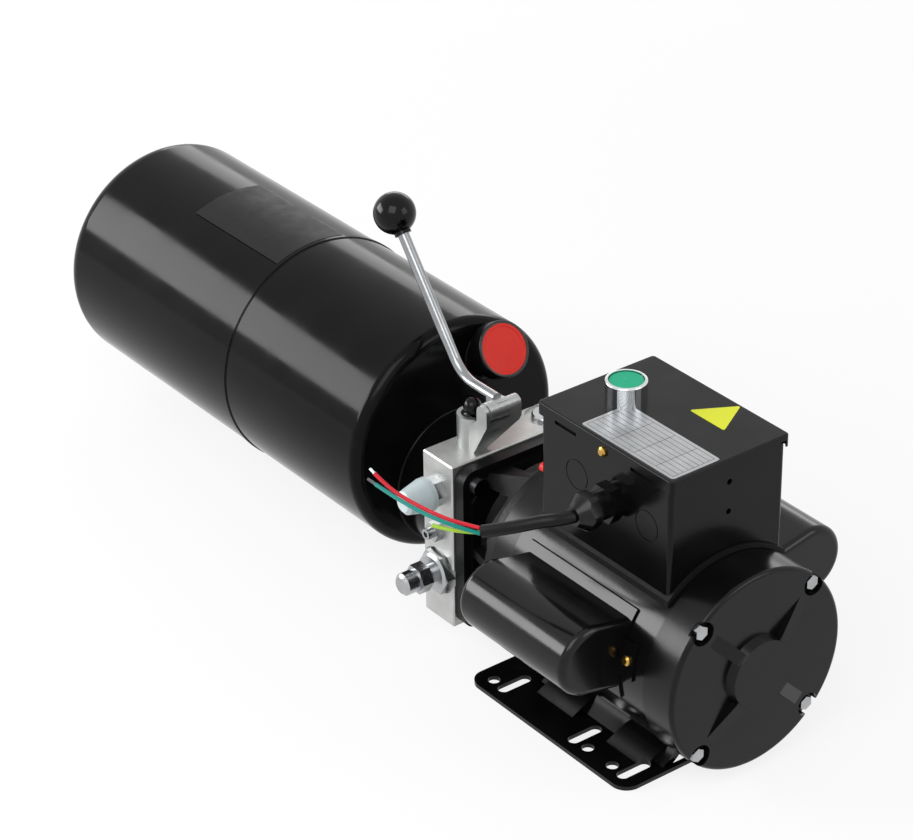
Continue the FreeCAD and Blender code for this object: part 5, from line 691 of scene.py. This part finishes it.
class AddStrands(bpy.types.Operator):
    """Adds the bare strands at the cut ends of the live cores"""

    bl_idname = "power_unit.add_strands"
    bl_label = "Add bare strands"

    def execute(self, context):
        sizes = context.scene.power_unit_sizes
        # each core with the finish of its strands and their share of the usual bare length
        ends = (("core_red", "tinned_strand", 1.0), ("core_green", "dark_strand", 1.5))
        for node, finish, share in ends:
            before, tip = (Vector(place) for place in CORE_ROUTES[node][-2:])
            along = (tip - before).normalized()
            length = sizes.strand_length * share
            work = bmesh.new()
            turn = along.to_track_quat("Z", "Y").to_matrix().to_4x4()
            start = Matrix.Translation(tip + along * (length / 2 - STRAND_INSIDE_CORE)) @ turn
            wires = [Vector((0, 0, 0))]
            for step in range(STRANDS_ROUND):
                angle = math.tau * step / STRANDS_ROUND
                across = Vector((math.cos(angle), math.sin(angle), 0))
                wires.append(across * sizes.core_diameter * STRAND_RING_SHARE)
            for wire in wires:
                bmesh.ops.create_cone(work, cap_ends=True, segments=10, radius1=STRAND_ROOT_RADIUS,
                                      radius2=STRAND_TIP_RADIUS, depth=length,
                                      matrix=start @ Matrix.Translation(wire))
            finish_mesh(node + "_strands", work, finish_named(finish), "housing")
        return {"FINISHED"}


class AddReleaseSpring(bpy.types.Operator):
    """Puts a copy of the release spring's coils, in ground steel, in place of the original"""

    bl_idname = "power_unit.add_release_spring"
    bl_label = "Add release spring"

    def execute(self, context):
        work = bmesh.new()
        work.from_mesh(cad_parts["release_spring"].data)
        steel = finish_named("ground_steel")
        spring = finish_mesh("release_spring_coils", work, steel, "housing")
        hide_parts("release_spring")
        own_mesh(spring)
        return {"FINISHED"}


def seen_plainly(tree):
    """One for rays from the eye, straight or by a reflection or through glass, and else zero."""
    path = add(tree, "LightPath")
    maximum = {"operation": "MAXIMUM"}
    mirrored = add(tree, "Math", maximum, {0: (path, "Is Camera Ray"), 1: (path, "Is Glossy Ray")})
    return add(tree, "Math", maximum, {0: (mirrored, "Value"), 1: (path, "Is Transmission Ray")})


class AddStage(bpy.types.Operator):
    """Adds the floor, plain studio light, white surroundings and the camera"""

    bl_idname = "power_unit.add_stage"
    bl_label = "Add stage and camera"

    def execute(self, context):
        self.add_floor()
        self.add_lamps()
        self.add_world()
        self.add_camera()
        context.scene.view_settings.view_transform = "Standard"
        return {"FINISHED"}

    def add_floor(self):
        """Pale paper that looks nearly white and keeps the unit's shadow."""
        work = bmesh.new()
        below = Matrix.Translation((0.0, 0.0, -FLOOR_DROP))
        bmesh.ops.create_grid(work, x_segments=1, y_segments=1, size=FLOOR_HALF_WIDTH, matrix=below)
        mesh = bpy.data.meshes.new("floor")
        work.to_mesh(mesh)
        work.free()
        floor = bpy.data.objects.new("floor", mesh)
        bpy.context.scene.collection.objects.link(floor)
        made = bpy.data.materials.new("pale_studio_floor")
        tree = empty_tree(made)
        paper = add(tree, "BsdfDiffuse", {"Color": linear("#f4f4f4")})
        glow = add(tree, "Emission", {"Color": (1, 1, 1, 1), "Strength": 1.0})
        share = add(tree, "Math", {"operation": "MULTIPLY", 1: FLOOR_WHITE_SHARE},
                    {0: (seen_plainly(tree), "Value")})
        mixed = add(tree, "MixShader", links={
            0: (share, "Value"), 1: (paper, "BSDF"), 2: (glow, "Emission"),
        })
        add(tree, "OutputMaterial", links={"Surface": (mixed, "Shader")})
        floor.data.materials.append(made)

    def add_lamps(self):
        """Four softboxes, each turned to the unit's middle."""
        centre = Vector((-0.16, 0.0, 0.12))
        # place from the unit's middle, width, height and power of each softbox
        lamps = (
            ("key_softbox", (0.75, -1.10, 1.45), 1.2, 1.2, 14.0),
            ("left_softbox", (-1.30, -1.24, 0.64), 1.4, 0.7, 30.0),
            ("far_softbox", (-1.30, 1.24, 0.52), 1.4, 0.45, 5.0),
            ("side_softbox", (1.50, 0.70, 0.90), 0.9, 0.9, 6.0),
        )
        for name, place, width, height, power in lamps:
            data = bpy.data.lights.new(name, "AREA")
            data.shape = "RECTANGLE"
            data.size = width
            data.size_y = height
            data.energy = power
            lamp = bpy.data.objects.new(name, data)
            lamp.location = Vector(place) + centre
            lamp.rotation_euler = (-Vector(place)).to_track_quat("-Z", "Y").to_euler()
            bpy.context.scene.collection.objects.link(lamp)

    def add_world(self):
        """A dim even light on the unit, which looks white to the eye and in reflections."""
        world = bpy.data.worlds.new("white_studio")
        bpy.context.scene.world = world
        tree = empty_tree(world)
        dim = add(tree, "Background", {"Color": (1, 1, 1, 1), "Strength": 0.5})
        white = add(tree, "Background", {"Color": (1, 1, 1, 1), "Strength": 1.0})
        mixed = add(tree, "MixShader", links={
            0: (seen_plainly(tree), "Value"), 1: (dim, "Background"), 2: (white, "Background"),
        })
        add(tree, "OutputWorld", links={"Surface": (mixed, "Shader")})

    def add_camera(self):
        """The camera at the product view."""
        right = Vector((math.cos(CAMERA_AZIMUTH), math.sin(CAMERA_AZIMUTH), 0.0))
        back = Vector((
            math.sin(CAMERA_AZIMUTH) * math.cos(CAMERA_ELEVATION),
            -math.cos(CAMERA_AZIMUTH) * math.cos(CAMERA_ELEVATION),
            math.sin(CAMERA_ELEVATION),
        ))
        up = back.cross(right)
        rolled_right = right * math.cos(CAMERA_ROLL) + up * math.sin(CAMERA_ROLL)
        rolled_up = up * math.cos(CAMERA_ROLL) - right * math.sin(CAMERA_ROLL)
        data = bpy.data.cameras.new("product_camera")
        data.sensor_width = CAMERA_SENSOR_MM
        data.lens = CAMERA_LENS_MM
        data.clip_start = 0.05
        data.clip_end = 30.0
        camera = bpy.data.objects.new("product_camera", data)
        turn = Matrix((rolled_right, rolled_up, back)).transposed()
        place = Vector(CAMERA_TARGET) + back * CAMERA_DISTANCE
        camera.matrix_world = Matrix.Translation(place) @ turn.to_4x4()
        bpy.context.scene.collection.objects.link(camera)
        bpy.context.scene.camera = camera


OPERATORS = (
    FinishSolids, AddPlate, AddTankLabel, AddWelds, AddLeads, AddStrands, AddReleaseSpring, AddStage,
)


class PowerUnitPanel(bpy.types.Panel):
    """Lists the steps that dress the power unit"""

    bl_idname = "VIEW3D_PT_power_unit"
    bl_label = "Power unit"
    bl_space_type = "VIEW_3D"
    bl_region_type = "UI"
    bl_category = "Power unit"

    def draw(self, context):
        layout = self.layout
        for operator in OPERATORS:
            layout.operator(operator.bl_idname)
        for group in (context.scene.power_unit_sizes, context.scene.power_unit_colours):
            for name in group.__annotations__:
                layout.prop(group, name)


CLASSES = (PowerUnitSizes, PowerUnitColours, *OPERATORS, PowerUnitPanel)


def register():
    for each in CLASSES:
        bpy.utils.register_class(each)
    bpy.types.Scene.power_unit_sizes = bpy.props.PointerProperty(type=PowerUnitSizes)
    bpy.types.Scene.power_unit_colours = bpy.props.PointerProperty(type=PowerUnitColours)


def unregister():
    del bpy.types.Scene.power_unit_colours
    del bpy.types.Scene.power_unit_sizes
    for each in reversed(CLASSES):
        bpy.utils.unregister_class(each)


def main():
    """Registers the add-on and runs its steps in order."""
    register()
    for operator in OPERATORS:
        group, name = operator.bl_idname.split(".")
        getattr(getattr(bpy.ops, group), name)()


if __name__ == "__main__":
    main()
